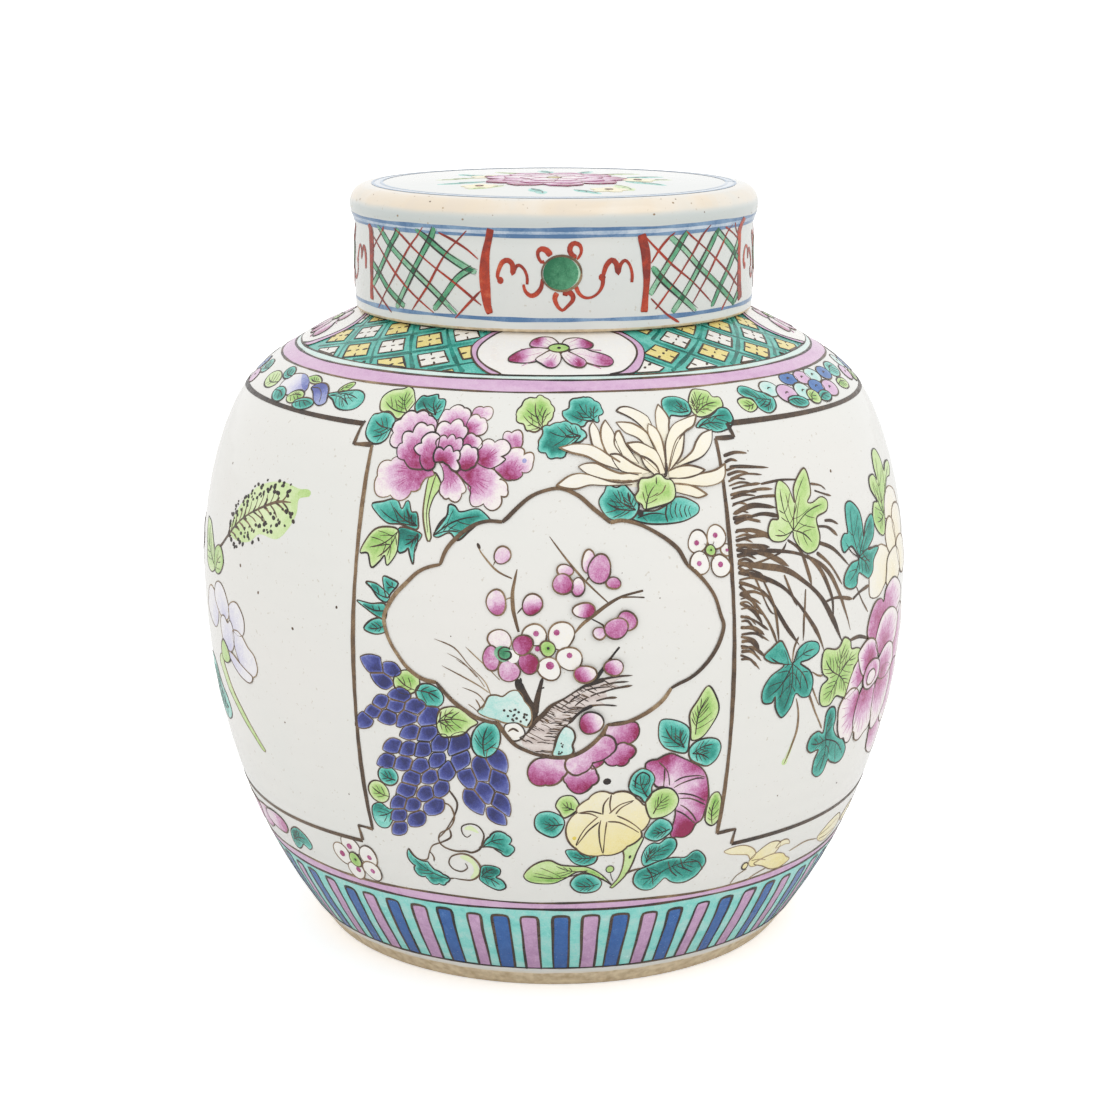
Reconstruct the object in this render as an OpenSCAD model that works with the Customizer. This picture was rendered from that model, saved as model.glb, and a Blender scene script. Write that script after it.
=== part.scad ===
// Ginger jar: a thrown porcelain jar with a short neck, and its drop-on cap lid.
// Millimetres, +Z up, origin at the centre of the foot, on the surface it stands on.
// Both pieces are solids of revolution about Z. The lid is drawn in place on the jar.

/* [Jar] */
// Radius of the jar at its widest
belly_r = 103.4; // [96:0.2:110]
// Height of the widest place above the foot
belly_z = 104; // [95:1:115]
// Outer radius of the foot ring
foot_r = 69.3; // [64:0.1:74]
// Slope of the wall where it rises from the foot, degrees from level
foot_slope = 53; // [48:1:60]
// Height of the flat seat that the lid rests on
seat_z = 183; // [178:0.5:190]
// Outer radius of the flat seat
seat_r = 55.5; // [54.5:0.1:56.5]
// Thickness of the jar's wall
jar_wall = 4.6; // [3.5:0.1:5.5]

/* [Neck] */
// Outer radius of the neck, inside the lid
neck_r = 50.6; // [48:0.1:51.5]
// Height of the neck's rim above the foot
neck_z = 203; // [198:1:206]
// Thickness of the neck's wall
neck_wall = 4.2; // [3.5:0.1:5]

/* [Foot] */
// Width of the foot ring that the jar stands on
foot_w = 6; // [4.5:0.5:8]
// Depth of the recess inside the foot ring
recess_h = 4.5; // [3:0.5:6]
// Thickness of the floor
floor_t = 5; // [4:0.5:7]
// Bevel on the edges of the foot ring
foot_bevel = 0.7; // [0.4:0.1:1.2]

/* [Lid] */
// Outer radius of the lid's wall
lid_r = 57.9; // [57:0.1:58.5]
// Radius of the lid's rounded rim
rim_r = 59; // [58.6:0.1:60]
// Height of the middle of the rounded rim above the foot
rim_z = 213.4; // [211:0.1:215]
// Height of the lid's top at its centre above the foot
lid_top_z = 220; // [219:0.5:223]
// Thickness of the lid's wall and top
lid_wall = 4.4; // [3.5:0.1:5]
// Gap between the lid's lower edge and the seat
lid_gap = 0.3; // [0.3:0.05:0.5]

/* [Hidden] */

glaze_white = "#efeeea";

// Facets round the jar's axis, and steps along each curve of an outline
round_fn = 180;
steps = 16;

// A point on a cubic Bezier curve of four control points, and its direction of travel
function curve_at(p, t) =
    pow(1 - t, 3) * p[0] + 3 * pow(1 - t, 2) * t * p[1] + 3 * (1 - t) * t * t * p[2] + pow(t, 3) * p[3];
function travel_at(p, t) =
    let (d = 3 * pow(1 - t, 2) * (p[1] - p[0]) + 6 * (1 - t) * t * (p[2] - p[1]) + 3 * t * t * (p[3] - p[2]))
    d / norm(d);
function curve(p, from = 0, to = 1) =
    [for (i = [0 : steps]) curve_at(p, from + (to - from) * i / steps)];

// The same curve moved sideways by a distance, to the left of the way it travels
function curve_beside(p, distance, from = 0, to = 1) =
    [for (i = [0 : steps])
        let (t = from + (to - from) * i / steps, d = travel_at(p, t))
        curve_at(p, t) + distance * [-d[1], d[0]]];

// An elliptical arc about a centre, from one angle to another
function arc(centre, rx, rz, from, to) =
    [for (i = [0 : steps]) let (a = from + (to - from) * i / steps) centre + [rx * cos(a), rz * sin(a)]];

// A step of a given length at a given angle from level
function reach(length, angle) = length * [cos(angle), sin(angle)];

// Outline of the jar's outside, from the foot up to the widest place, the knee and the seat. Each pull is how
// far a curve's end carries on in its own direction, so a longer pull makes that end of the curve fuller.
knee_in = 12.9;
knee_up = 55;
knee_slope = 58.5;
seat_slope = 26.5;
foot_pull = 29;
belly_pull_down = 48;
belly_pull_up = 20.5;
knee_pull_down = 11.2;
knee_pull_up = 12;
seat_pull = 22;
shoulder_knee = [belly_r - knee_in, belly_z + knee_up];
lower_curve = [
    [foot_r, 0],
    [foot_r, 0] + reach(foot_pull, foot_slope),
    [belly_r, belly_z - belly_pull_down],
    [belly_r, belly_z],
];
upper_curve = [
    [belly_r, belly_z],
    [belly_r, belly_z + belly_pull_up],
    shoulder_knee + reach(knee_pull_down, -knee_slope),
    shoulder_knee,
];
shoulder_curve = [
    shoulder_knee,
    shoulder_knee + reach(knee_pull_up, 180 - knee_slope),
    [seat_r, seat_z] + reach(seat_pull, -seat_slope),
    [seat_r, seat_z],
];

// The inside of the jar: neck bore, shoulder, wall and floor
bore_r = neck_r - neck_wall;
neck_root = [bore_r, seat_z + 2];
neck_pull = 3.5;
under_seat_pull = 4;
under_seat = curve_beside(shoulder_curve, jar_wall, 0, 1)[steps];
neck_curve = [
    neck_root,
    neck_root - [0, neck_pull],
    under_seat + reach(under_seat_pull, 180 - seat_slope),
    under_seat,
];
floor_z = recess_h + floor_t;
corner_start = 0.17;
corner_pull = 4;
floor_in = 14;
floor_pull = 9;
corner_top = curve_beside(lower_curve, jar_wall, corner_start, 1)[0];
corner_travel = travel_at(lower_curve, corner_start);
corner_curve = [
    corner_top,
    corner_top - corner_pull * corner_travel,
    [foot_r - floor_in + floor_pull, floor_z],
    [foot_r - floor_in, floor_z],
];

// The foot ring's inner edge and the recess inside it, with a bevel in the recess's corner
foot_in_r = foot_r - foot_w;
recess_bevel = 2;
recess_r = foot_in_r - recess_bevel;

// The place on the lower curve where the foot ring's outer bevel ends
foot_t = foot_bevel / (3 * foot_pull * sin(foot_slope));

function backwards(list) = [for (i = [len(list) - 1 : -1 : 0]) list[i]];

module jar_body() {
    color(glaze_white)
    rotate_extrude($fn = round_fn)
    polygon(concat(
        [[foot_r - foot_bevel, 0]],
        curve(lower_curve, foot_t, 1),
        curve(upper_curve),
        curve(shoulder_curve),
        [[neck_r, seat_z]],
        arc([bore_r + neck_wall / 2, neck_z - neck_wall / 2], neck_wall / 2, neck_wall / 2, 0, 180),
        curve(neck_curve),
        backwards(curve_beside(shoulder_curve, jar_wall)),
        backwards(curve_beside(upper_curve, jar_wall)),
        backwards(curve_beside(lower_curve, jar_wall, corner_start, 1)),
        curve(corner_curve),
        [[0, floor_z], [0, recess_h], [recess_r, recess_h], [foot_in_r, recess_h - recess_bevel],
         [foot_in_r, foot_bevel],
         [foot_in_r + foot_bevel, 0]]
    ));
}

// The lid's outside: a wall that swells a little, a rounded rim, and a low crown
lid_foot_z = seat_z + lid_gap;
lid_in_r = lid_r - lid_wall;
lid_ceiling_z = lid_top_z - lid_wall;
crown_r = rim_r - 5;
crown_z = lid_top_z - 1.4;
edge_bevel = 1;
inner_bevel = 0.6;
ceiling_round = 3.5;
wall_end_r = lid_r - 0.3;
wall_middle_r = lid_r + 0.2;
wall_top_z = rim_z - 6.5;
wall_pull_up = 9;
wall_pull_down = 7.5;
bulge_pull_up = 2.2;
bulge_pull_down = 2.6;
bulge_lean = 0.1;
wall_curve = [
    [wall_end_r, lid_foot_z + edge_bevel],
    [wall_middle_r, lid_foot_z + edge_bevel + wall_pull_up],
    [wall_middle_r, wall_top_z - wall_pull_down],
    [wall_end_r, wall_top_z],
];
bulge_curve = [
    [wall_end_r, wall_top_z],
    [wall_end_r - bulge_lean, wall_top_z + bulge_pull_up],
    [rim_r, rim_z - bulge_pull_down],
    [rim_r, rim_z],
];

// The rim turns over as far as rim_turn degrees, and the crown rises from there to the middle
rim_turn = 80;
crown_curve = [
    [crown_r - 1, crown_z + 0.05],
    [crown_r * 0.66, crown_z + 0.8],
    [crown_r * 0.33, lid_top_z],
    [0, lid_top_z],
];

module lid() {
    color(glaze_white)
    rotate_extrude($fn = round_fn)
    polygon(concat(
        [[lid_in_r + inner_bevel, lid_foot_z], [wall_end_r - edge_bevel, lid_foot_z]],
        curve(wall_curve),
        curve(bulge_curve),
        arc([crown_r, rim_z], rim_r - crown_r, crown_z - rim_z, 0, rim_turn),
        curve(crown_curve),
        [[0, lid_ceiling_z]],
        backwards(arc([lid_in_r - ceiling_round, lid_ceiling_z - ceiling_round],
                      ceiling_round, ceiling_round, 0, 90)),
        [[lid_in_r, lid_foot_z + inner_bevel]]
    ));
}

jar_body();
lid();
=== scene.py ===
"""Ginger jar: porcelain jar and cap lid, painted in overglaze enamels.

Drawings are made flat, in millimetres. x runs round the surface, with x = 0 at the front, and is measured
at the radius of the belly or of the lid's wall. y runs up the outline of the piece from its lower edge.
Surface.place() wraps them onto the porcelain. Every painted form is a thin closed solid, a fraction of a
millimetre proud of the glaze.
"""

import math
import random

import bpy
import numpy as np
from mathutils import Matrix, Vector, geometry


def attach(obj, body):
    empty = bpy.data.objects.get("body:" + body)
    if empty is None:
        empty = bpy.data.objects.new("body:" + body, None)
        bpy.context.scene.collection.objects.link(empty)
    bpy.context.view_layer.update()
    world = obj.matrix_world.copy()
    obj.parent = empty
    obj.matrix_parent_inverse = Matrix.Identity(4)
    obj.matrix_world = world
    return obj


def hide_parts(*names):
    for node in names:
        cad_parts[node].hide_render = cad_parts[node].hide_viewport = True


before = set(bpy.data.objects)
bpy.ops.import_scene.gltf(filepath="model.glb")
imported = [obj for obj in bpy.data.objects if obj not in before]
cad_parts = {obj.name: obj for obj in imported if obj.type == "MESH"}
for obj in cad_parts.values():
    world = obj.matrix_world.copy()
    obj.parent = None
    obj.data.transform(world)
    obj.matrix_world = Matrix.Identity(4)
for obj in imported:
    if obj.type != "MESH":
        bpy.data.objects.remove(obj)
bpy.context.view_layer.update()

MM = 0.001
BELLY_R = 103.4
BELLY_Z = 104.0
FOOT_R = 69.3
SEAT_R = 55.5
SEAT_Z = 183.0
LID_R = 57.9
RIM_R = 59.0
RIM_Z = 213.4
TOP_Z = 220.0
TURN = 2 * math.pi * BELLY_R  # once round the jar, in drawing millimetres
BACK = TURN / 2
SIDE = TURN / 4
LID_TURN = 2 * math.pi * LID_R


# ---------------------------------------------------------------- outlines of the two pieces


def reach(length, degrees):
    a = math.radians(degrees)
    return np.array([length * math.cos(a), length * math.sin(a)])


def rotation(angle):
    """A matrix that turns rows of points anticlockwise."""
    c, s = math.cos(angle), math.sin(angle)
    return np.array([[c, s], [-s, c]])


def bezier(p, steps):
    """A cubic Bezier curve of four control points."""
    t = np.linspace(0, 1, steps + 1)[:, None]
    a, b, c, d = (np.array(q, float) for q in p)
    return (1 - t) ** 3 * a + 3 * (1 - t) ** 2 * t * b + 3 * (1 - t) * t**2 * c + t**3 * d


def arc(centre, rx, rz, start, end, steps):
    a = np.radians(np.linspace(start, end, steps + 1))
    return np.stack([centre[0] + rx * np.cos(a), centre[1] + rz * np.sin(a)], 1)


def leftward(points):
    """At each of a run of points, one step to the left of the way it travels."""
    way = np.gradient(points, axis=0)
    way /= np.linalg.norm(way, axis=1)[:, None] + 1e-9
    return np.stack([-way[:, 1], way[:, 0]], 1)


def beside(points, distance):
    """The same run of points moved sideways, to the left of the way it travels."""
    return points + distance * leftward(points)


def dense(points, step):
    """Adds points to straight runs, so that no gap is longer than step."""
    out = [points[0]]
    for a, b in zip(points[:-1], points[1:]):
        n = max(1, int(math.ceil(np.linalg.norm(b - a) / step)))
        out += [a + (b - a) * (i + 1) / n for i in range(n)]
    return np.array(out)


# the jar's outside, from the foot up to the widest place, the knee and the seat; each pull is how far
# a curve's end carries on in its own direction
FOOT = np.array([FOOT_R, 0.0])
BELLY = np.array([BELLY_R, BELLY_Z])
KNEE = np.array([BELLY_R - 12.9, BELLY_Z + 55])
SEAT = np.array([SEAT_R, SEAT_Z])
foot_pull, seat_pull = reach(29, 53), reach(22, -26.5)
belly_pull_down, belly_pull_up = 48.0, 20.5
knee_pull_down, knee_pull_up = reach(11.2, -58.5), reach(12, 121.5)
LOWER = bezier([FOOT, FOOT + foot_pull, BELLY - (0, belly_pull_down), BELLY], 90)
UPPER = bezier([BELLY, BELLY + (0, belly_pull_up), KNEE + knee_pull_down, KNEE], 50)
SHOULDER = bezier([KNEE, KNEE + knee_pull_up, SEAT + seat_pull, SEAT], 50)
JAR_OUTSIDE = np.vstack([LOWER, UPPER[1:], SHOULDER[1:]])

JAR_WALL = 4.6
NECK_R = 50.6
NECK_Z = 203.0
NECK_WALL = 4.2
FLOOR_Z = 9.5
FLOOR_R = FOOT_R - 14
RECESS = 4.5
FOOT_IN = 63.3


def jar_outline():
    """The jar's closed outline, from the centre of its base, up the outside, and down the inside."""
    bevel = 2.0
    ring_edge = 0.9
    wall_start, outside_start = 15, 3  # points up from the foot where the inside's wall and the outside start
    bore = NECK_R - NECK_WALL
    under_seat = beside(SHOULDER, JAR_WALL)[-1]
    neck = bezier([(bore, SEAT_Z + 2), (bore, SEAT_Z - 1.5), under_seat + reach(4, 153.5), under_seat], 10)
    inner = beside(np.vstack([LOWER[wall_start:], UPPER[1:], SHOULDER[1:]]), JAR_WALL)[::-1]
    corner = bezier([inner[-1], inner[-1] - (2.3, 3.2), (FLOOR_R + 9, FLOOR_Z), (FLOOR_R, FLOOR_Z)], 12)
    base = np.array([(0, RECESS), (FOOT_IN - bevel, RECESS)])
    ring = np.vstack([
        bezier([base[-1], base[-1] + (1.5, 0), (FOOT_IN, 3.6), (FOOT_IN, bevel)], 6),
        bezier([(FOOT_IN, ring_edge), (FOOT_IN, 0.3), (FOOT_IN + 0.3, 0), (FOOT_IN + ring_edge, 0)], 5),
        bezier([(FOOT_R - 1.0, 0), (FOOT_R - 0.3, 0), (FOOT_R + 0.1, 0.1), JAR_OUTSIDE[outside_start - 1]],
                5),
    ])
    seat_end = np.array([NECK_R + 0.6, SEAT_Z])
    seat = np.vstack([
        bezier([SEAT, SEAT - (1, 0), seat_end + (0.4, 0), seat_end], 6),
        bezier([seat_end, seat_end - (0.4, 0), (NECK_R, SEAT_Z + 0.2), (NECK_R, SEAT_Z + 0.8)], 4),
    ])
    lip = arc((NECK_R - NECK_WALL / 2, NECK_Z - NECK_WALL / 2), NECK_WALL / 2, NECK_WALL / 2, 0, 180, 14)
    floor = np.array([(0, FLOOR_Z)])
    return dense(np.vstack([base, ring, JAR_OUTSIDE[outside_start:], seat, lip, neck, inner[1:], corner[1:],
            floor]), 2.5)


LID_FOOT = SEAT_Z + 0.3
LID_WALL = 4.4
CROWN_R = RIM_R - 5
CROWN_Z = TOP_Z - 1.4
wall_end_r, wall_middle_r = LID_R - 0.3, LID_R + 0.2
lid_wall = bezier([(wall_end_r, LID_FOOT + 1), (wall_middle_r, LID_FOOT + 10), (wall_middle_r, RIM_Z - 14),
        (wall_end_r, RIM_Z - 6.5)], 30)
lid_bulge = bezier([lid_wall[-1], lid_wall[-1] + (-0.1, 2.2), (RIM_R, RIM_Z - 2.6), (RIM_R, RIM_Z)], 16)
lid_edge = arc((CROWN_R, RIM_Z), RIM_R - CROWN_R, CROWN_Z - RIM_Z, 0, 80, 16)
lid_crown = bezier([(CROWN_R - 1, CROWN_Z + 0.05), (CROWN_R * 0.66, CROWN_Z + 0.8), (CROWN_R * 0.33, TOP_Z),
        (0, TOP_Z)], 40)
LID_OUTSIDE = np.vstack([lid_wall, lid_bulge[1:], lid_edge[1:], lid_crown])


def lid_outline():
    """The lid's closed outline, from the centre of its ceiling, down the inside, and up the outside."""
    ceiling = TOP_Z - LID_WALL
    inner = LID_R - LID_WALL
    bevel = 0.8
    turn = 3.5  # radius where the wall's inside turns into the ceiling
    corner = arc((inner - turn, ceiling - turn), turn, turn, 90, 0, 10)
    foot = np.vstack([
        bezier([(inner, LID_FOOT + bevel), (inner, LID_FOOT + 0.2), (inner + 0.2, LID_FOOT),
                (inner + bevel, LID_FOOT)], 5),
        bezier([(LID_R - 1.4, LID_FOOT), (LID_R - 0.6, LID_FOOT), (LID_R - 0.35, LID_FOOT + 0.4),
                lid_wall[0]], 6),
    ])
    return dense(np.vstack([[(0, ceiling)], corner, foot, LID_OUTSIDE[1:]]), 2.5)


class Surface:
    """The outside of one piece, as a place to draw on."""

    def __init__(self, outside, reference):
        self.points = outside
        steps = np.linalg.norm(np.diff(outside, axis=0), axis=1)
        self.along = np.concatenate([[0], np.cumsum(steps)])
        self.reference = reference

    def outline_at(self, y):
        y = np.asarray(y, float)
        return np.interp(y, self.along, self.points[:, 0]), np.interp(y, self.along, self.points[:, 1])

    def place(self, x, y, lift):
        """Points in metres for drawing points x, y, raised off the glaze by lift."""
        x, y, lift = (np.asarray(v, float) for v in (x, y, lift))
        either_way = 0.4
        r, z = self.outline_at(y)
        r0, z0 = self.outline_at(y - either_way)
        r1, z1 = self.outline_at(y + either_way)
        size = np.hypot(r1 - r0, z1 - z0) + 1e-9
        r = r + lift * (z1 - z0) / size
        z = z - lift * (r1 - r0) / size
        return wrap(r, z, x / self.reference)


def thrown(z, angle):
    """The small unevenness that hand throwing and firing leave in a radius, in millimetres."""
    bulge_z, bulge_high = 142, 34
    to_left, to_right = np.clip(-np.sin(angle), 0, 1), np.clip(np.sin(angle), 0, 1)
    full = np.exp(-(((z - bulge_z) / bulge_high) ** 2)) * np.clip((SEAT_Z + 1 - z) / 14, 0, 1)
    lean = (1.6 * to_left**2 + 0.9 * to_right**2) * full
    oval = (0.16 * np.sin(2 * angle + 0.7) + 0.07 * np.sin(3 * angle + z / 31)) * np.clip(z / 30, 0, 1)
    throwing_marks = 0.035 * np.sin(z * 0.9 + 0.5 * np.sin(angle)) * np.clip((z - 4) / 10, 0, 1)
    return lean + oval + throwing_marks


def wrap(r, z, angle):
    """Points in metres at radii, heights and angles from the front, with the thrown unevenness."""
    r = r + thrown(z, angle) * np.clip(r / 20, 0, 1)
    return np.stack([r * np.sin(angle), -r * np.cos(angle), z + 0 * r], -1) * MM


jar_surface = Surface(JAR_OUTSIDE, BELLY_R)
lid_surface = Surface(LID_OUTSIDE, LID_R)


# ---------------------------------------------------------------- materials


def node_material(name, roughness):
    m = bpy.data.materials.new(name)
    m.use_nodes = True
    shader = m.node_tree.nodes["Principled BSDF"]
    shader.inputs["Roughness"].default_value = roughness
    return m, m.node_tree, shader


def add_node(tree, kind, links=None, **values):
    """A node with some inputs set and some linked from other nodes' sockets."""
    node = tree.nodes.new(kind)
    for key, value in values.items():
        setattr(node, key, value)
    for key, value in (links or {}).items():
        if isinstance(value, bpy.types.NodeSocket):
            tree.links.new(value, node.inputs[key])
        else:
            node.inputs[key].default_value = value
    return node


def position(tree):
    return add_node(tree, "ShaderNodeTexCoord").outputs["Object"]


def noise_value(tree, scale, detail, distortion=0.0):
    made = add_node(tree, "ShaderNodeTexNoise", {"Vector": position(tree), "Scale": scale, "Detail": detail,
            "Distortion": distortion})
    return made.outputs["Fac"]


def calc(tree, operation, a, b):
    return add_node(tree, "ShaderNodeMath", {0: a, 1: b}, operation=operation).outputs[0]


def spread(tree, value, low, high, out_low=0.0, out_high=1.0):
    return add_node(tree, "ShaderNodeMapRange", {"Value": value, "From Min": low, "From Max": high,
            "To Min": out_low, "To Max": out_high}).outputs["Result"]


def mixed(tree, factor, a, b):
    """Colour a where factor is 0, colour b where it is 1."""
    return add_node(tree, "ShaderNodeMix", {0: factor, 6: a, 7: b}, data_type="RGBA").outputs[2]


def srgb(*rgb):
    """A linear colour from a paint colour given as 0 to 255."""
    return tuple(((c / 255 + 0.055) / 1.055) ** 2.4 if c > 10 else c / 255 / 12.92 for c in rgb) + (1.0,)


def ramp(tree, value, stops):
    """Colours along a value from 0 to 1. A stop is its place and its paint colour, red, green and blue."""
    made = add_node(tree, "ShaderNodeValToRGB", {"Fac": value})
    parts = made.color_ramp.elements
    while len(parts) < len(stops):
        parts.new(0.5)
    for part, (at, *rgb) in zip(parts, stops):
        part.position = at
        part.color = srgb(*rgb)
    return made.outputs["Color"]


def bumped(tree, shader, height, distance, strength):
    made = add_node(tree, "ShaderNodeBump", {"Height": height, "Distance": distance, "Strength": strength})
    tree.links.new(made.outputs["Normal"], shader.inputs["Normal"])


def attribute(tree, name):
    return add_node(tree, "ShaderNodeAttribute", attribute_name=name).outputs["Fac"]


GLAZE = srgb(233, 231, 226)
GLAZE_POOL = srgb(230, 230, 225)
LID_GLAZE = srgb(222, 223, 218)
LID_GLAZE_POOL = srgb(214, 218, 215)
# the grey of the painted shade just under the lid's rim
RIM_SHADE_GREY = srgb(202, 208, 205)
PORE = srgb(176, 160, 132)
CLAY = srgb(226, 208, 176)
CLAY_DARK = srgb(188, 164, 128)
CREAM = [(0.3, 237, 229, 216), (0.55, 235, 221, 200), (0.75, 230, 218, 202)]


def porcelain(name, tint, pool):
    """Thick white glaze over clay. "clay" bares the body, "cream" warms the glaze; painted shade greys it."""
    m, tree, shader = node_material(name, 0.12)
    shader.inputs["Coat Weight"].default_value = 0.25
    shader.inputs["Coat Roughness"].default_value = 0.05
    cloud = noise_value(tree, 26, 3)
    fine = noise_value(tree, 420, 3)
    glaze = mixed(tree, spread(tree, cloud, 0.3, 0.75), tint, pool)
    cream_noise = spread(tree, noise_value(tree, 60, 4), 0.3, 0.7, -0.25, 0.25)
    cream = spread(tree, calc(tree, "ADD", attribute(tree, "cream"), cream_noise), 0.3, 0.85)
    warm = ramp(tree, noise_value(tree, 45, 5, 1.0), CREAM)
    glaze = mixed(tree, cream, glaze, warm)
    # painted shade: greyer glaze in a band where the lid's wall turns in under its rim
    glaze = mixed(tree, attribute(tree, "painted_shade"), glaze, RIM_SHADE_GREY)
    pores = spread(tree, noise_value(tree, 900, 2), 0.68, 0.74)
    glaze = mixed(tree, calc(tree, "MULTIPLY", pores, 0.35), glaze, PORE)
    clay = mixed(tree, spread(tree, fine, 0.35, 0.75), CLAY, CLAY_DARK)
    clay_noise = spread(tree, noise_value(tree, 160, 3), 0.3, 0.7, -0.2, 0.2)
    bare = spread(tree, calc(tree, "ADD", attribute(tree, "clay"), clay_noise), 0.42, 0.58)
    tree.links.new(mixed(tree, bare, glaze, clay), shader.inputs["Base Color"])
    tree.links.new(spread(tree, bare, 0, 1, 0.12, 0.8), shader.inputs["Roughness"])
    height = calc(tree, "ADD", noise_value(tree, 130, 2), calc(tree, "MULTIPLY", fine, 0.15))
    bumped(tree, shader, height, 0.00012, 0.35)
    return m


def enamel(name, stops, roughness=0.2, streak=0.12):
    """Glassy paint. The attribute "tone" runs from 0, thin or pale, to 1, thick or deep, along the stops."""
    grain = 0.10
    m, tree, shader = node_material(name, roughness)
    brush = spread(tree, noise_value(tree, 420, 3, 0.6), 0.3, 0.7, -streak, streak)
    fine = spread(tree, noise_value(tree, 2600, 2), 0.3, 0.7, -grain, grain)
    tone = calc(tree, "ADD", calc(tree, "ADD", attribute(tree, "tone"), brush), fine)
    tree.links.new(ramp(tree, tone, stops), shader.inputs["Base Color"])
    tree.links.new(spread(tree, noise_value(tree, 800, 2), 0.3, 0.7, roughness * 0.7, roughness * 1.4),
            shader.inputs["Roughness"])
    bumped(tree, shader, noise_value(tree, 900, 2), 0.00006, 0.5)
    return m


# paint: the slot it fills, and its material, from thin to thick
PAINTS = {
    "outline": ("outline", enamel("brown_black_line", [(0, 184, 160, 124), (0.35, 124, 98, 70),
            (0.7, 78, 60, 46), (1, 38, 32, 30)], 0.35)),
    "teal": ("green_enamel", enamel("teal_enamel", [(0, 152, 222, 210), (0.35, 92, 190, 175),
            (0.7, 38, 148, 133), (1, 14, 98, 88)])),
    "lime": ("lime_enamel", enamel("lime_enamel", [(0, 222, 236, 188), (0.4, 192, 220, 144),
            (0.8, 146, 194, 98), (1, 84, 150, 64)])),
    "rose": ("rose_enamel", enamel("rose_enamel", [(0, 243, 236, 232), (0.3, 228, 194, 218),
            (0.6, 198, 124, 172), (0.85, 168, 68, 122), (1, 146, 32, 80)])),
    "mauve": ("mauve_enamel", enamel("mauve_enamel", [(0, 228, 200, 222), (0.5, 214, 174, 208),
            (1, 176, 132, 172)])),
    "turquoise": ("turquoise_enamel", enamel("turquoise_enamel", [(0, 218, 236, 230), (0.3, 176, 224, 216),
            (0.6, 138, 220, 210), (1, 96, 190, 182)])),
    "indigo": ("blue_enamel", enamel("indigo_enamel", [(0, 168, 176, 216), (0.35, 104, 114, 182),
            (0.7, 66, 74, 146), (1, 44, 48, 102)])),
    "blue": ("blue_enamel", enamel("blue_enamel", [(0, 110, 152, 204), (0.5, 54, 104, 172),
            (1, 34, 78, 146)])),
    "yellow": ("yellow_enamel", enamel("yellow_enamel", [(0, 242, 236, 212), (0.5, 242, 230, 172),
            (1, 228, 206, 92)], streak=0.08)),
    "cream": ("white_enamel", enamel("cream_enamel", [(0, 242, 240, 236), (0.5, 244, 237, 214),
            (1, 236, 220, 170)], streak=0.08)),
    "lilac": ("blue_enamel", enamel("lilac_enamel", [(0, 238, 236, 238), (0.5, 206, 204, 230),
            (1, 136, 138, 200)])),
    "iron": ("iron_red", enamel("iron_red_enamel", [(0, 216, 128, 88), (0.5, 184, 60, 28),
            (1, 128, 38, 26)], 0.3, 0.25)),
    "green": ("green_enamel", enamel("green_enamel", [(0, 176, 212, 184), (0.5, 92, 166, 124),
            (1, 14, 104, 66)])),
    "cobalt": ("cobalt_line", enamel("cobalt_wash", [(0, 206, 216, 226), (0.5, 136, 166, 196),
            (1, 82, 120, 162)], 0.14)),
    "wash": ("outline", enamel("grey_brown_wash", [(0, 228, 218, 212), (0.5, 204, 190, 184),
            (1, 160, 142, 132)])),
}


# ---------------------------------------------------------------- drawing kit


def smooth(points, closed=False, step=0.8):
    """A smooth curve through given points, with a point about every step millimetres."""
    p = [np.array(q, float) for q in points]
    if len(p) == 2:
        n = max(1, int(round(np.linalg.norm(p[1] - p[0]) / step)))
        return np.array([p[0] + (p[1] - p[0]) * i / n for i in range(n + 1)])
    n = len(p)
    out = []
    for i in range(n if closed else n - 1):
        a, b, c, d = ((p[(i - 1) % n], p[i], p[(i + 1) % n],
                p[(i + 2) % n]) if closed else (p[max(i - 1, 0)], p[i], p[i + 1], p[min(i + 2, n - 1)]))
        parts = max(1, int(math.ceil(np.linalg.norm(c - b) / step)))
        for k in range(parts):
            t = k / parts
            out.append(0.5 * (2 * b + (c - a) * t + (2 * a - 5 * b + 4 * c - d) * t**2
                    + (3 * b - a - 3 * c + d) * t**3))
    if not closed:
        out.append(p[-1])
    return np.array(out)


def from_edge(p, edge):
    """How far points are from a closed edge."""
    way = np.roll(edge, -1, axis=0) - edge
    t = np.einsum("dej,ej->de", p[:, None] - edge[None], way) / (np.einsum("ej,ej->e", way, way) + 1e-12)
    return np.linalg.norm(p[:, None] - edge[None] - np.clip(t, 0, 1)[..., None] * way[None], axis=2).min(1)


def fade(start, end, top, bottom):
    """A tone that goes from top at start to bottom at end, both drawing points."""
    start, end = np.array(start, float), np.array(end, float)
    way = end - start
    return lambda p: top + (bottom - top) * np.clip(((p - start) @ way) / (way @ way), 0, 1)


def glow(centre, radius, top, bottom):
    """A tone that goes from top at a centre to bottom at a radius from it."""
    centre = np.array(centre, float)
    return lambda p: top + (bottom - top) * np.clip(np.linalg.norm(p - centre, axis=1) / radius, 0, 1)


def inside(points, polygon):
    """Which points are inside a polygon."""
    x, y = points[:, 0][:, None], points[:, 1][:, None]
    a, b = polygon, np.roll(polygon, -1, axis=0)
    crosses = (a[:, 1] > y) != (b[:, 1] > y)
    with np.errstate(divide="ignore", invalid="ignore"):
        at = a[:, 0] + (y - a[:, 1]) * (b[:, 0] - a[:, 0]) / (b[:, 1] - a[:, 1])
    return (np.sum(crosses & (x < at), axis=1) % 2) == 1


LEVEL = 0.03  # how much higher each coat lies than the one under it, in millimetres
SUNK = 0.08  # how far the underside of a coat reaches into the glaze
FIELD = 0.035  # how much a field of enamel is thicker inside its edge
STROKE = 0.025  # how much a brush line is thicker along its middle
OVER = 1.6  # levels that an outline lies above its field
SMALLEST = 0.02  # square millimetres; a field smaller than this isn't painted


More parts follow.
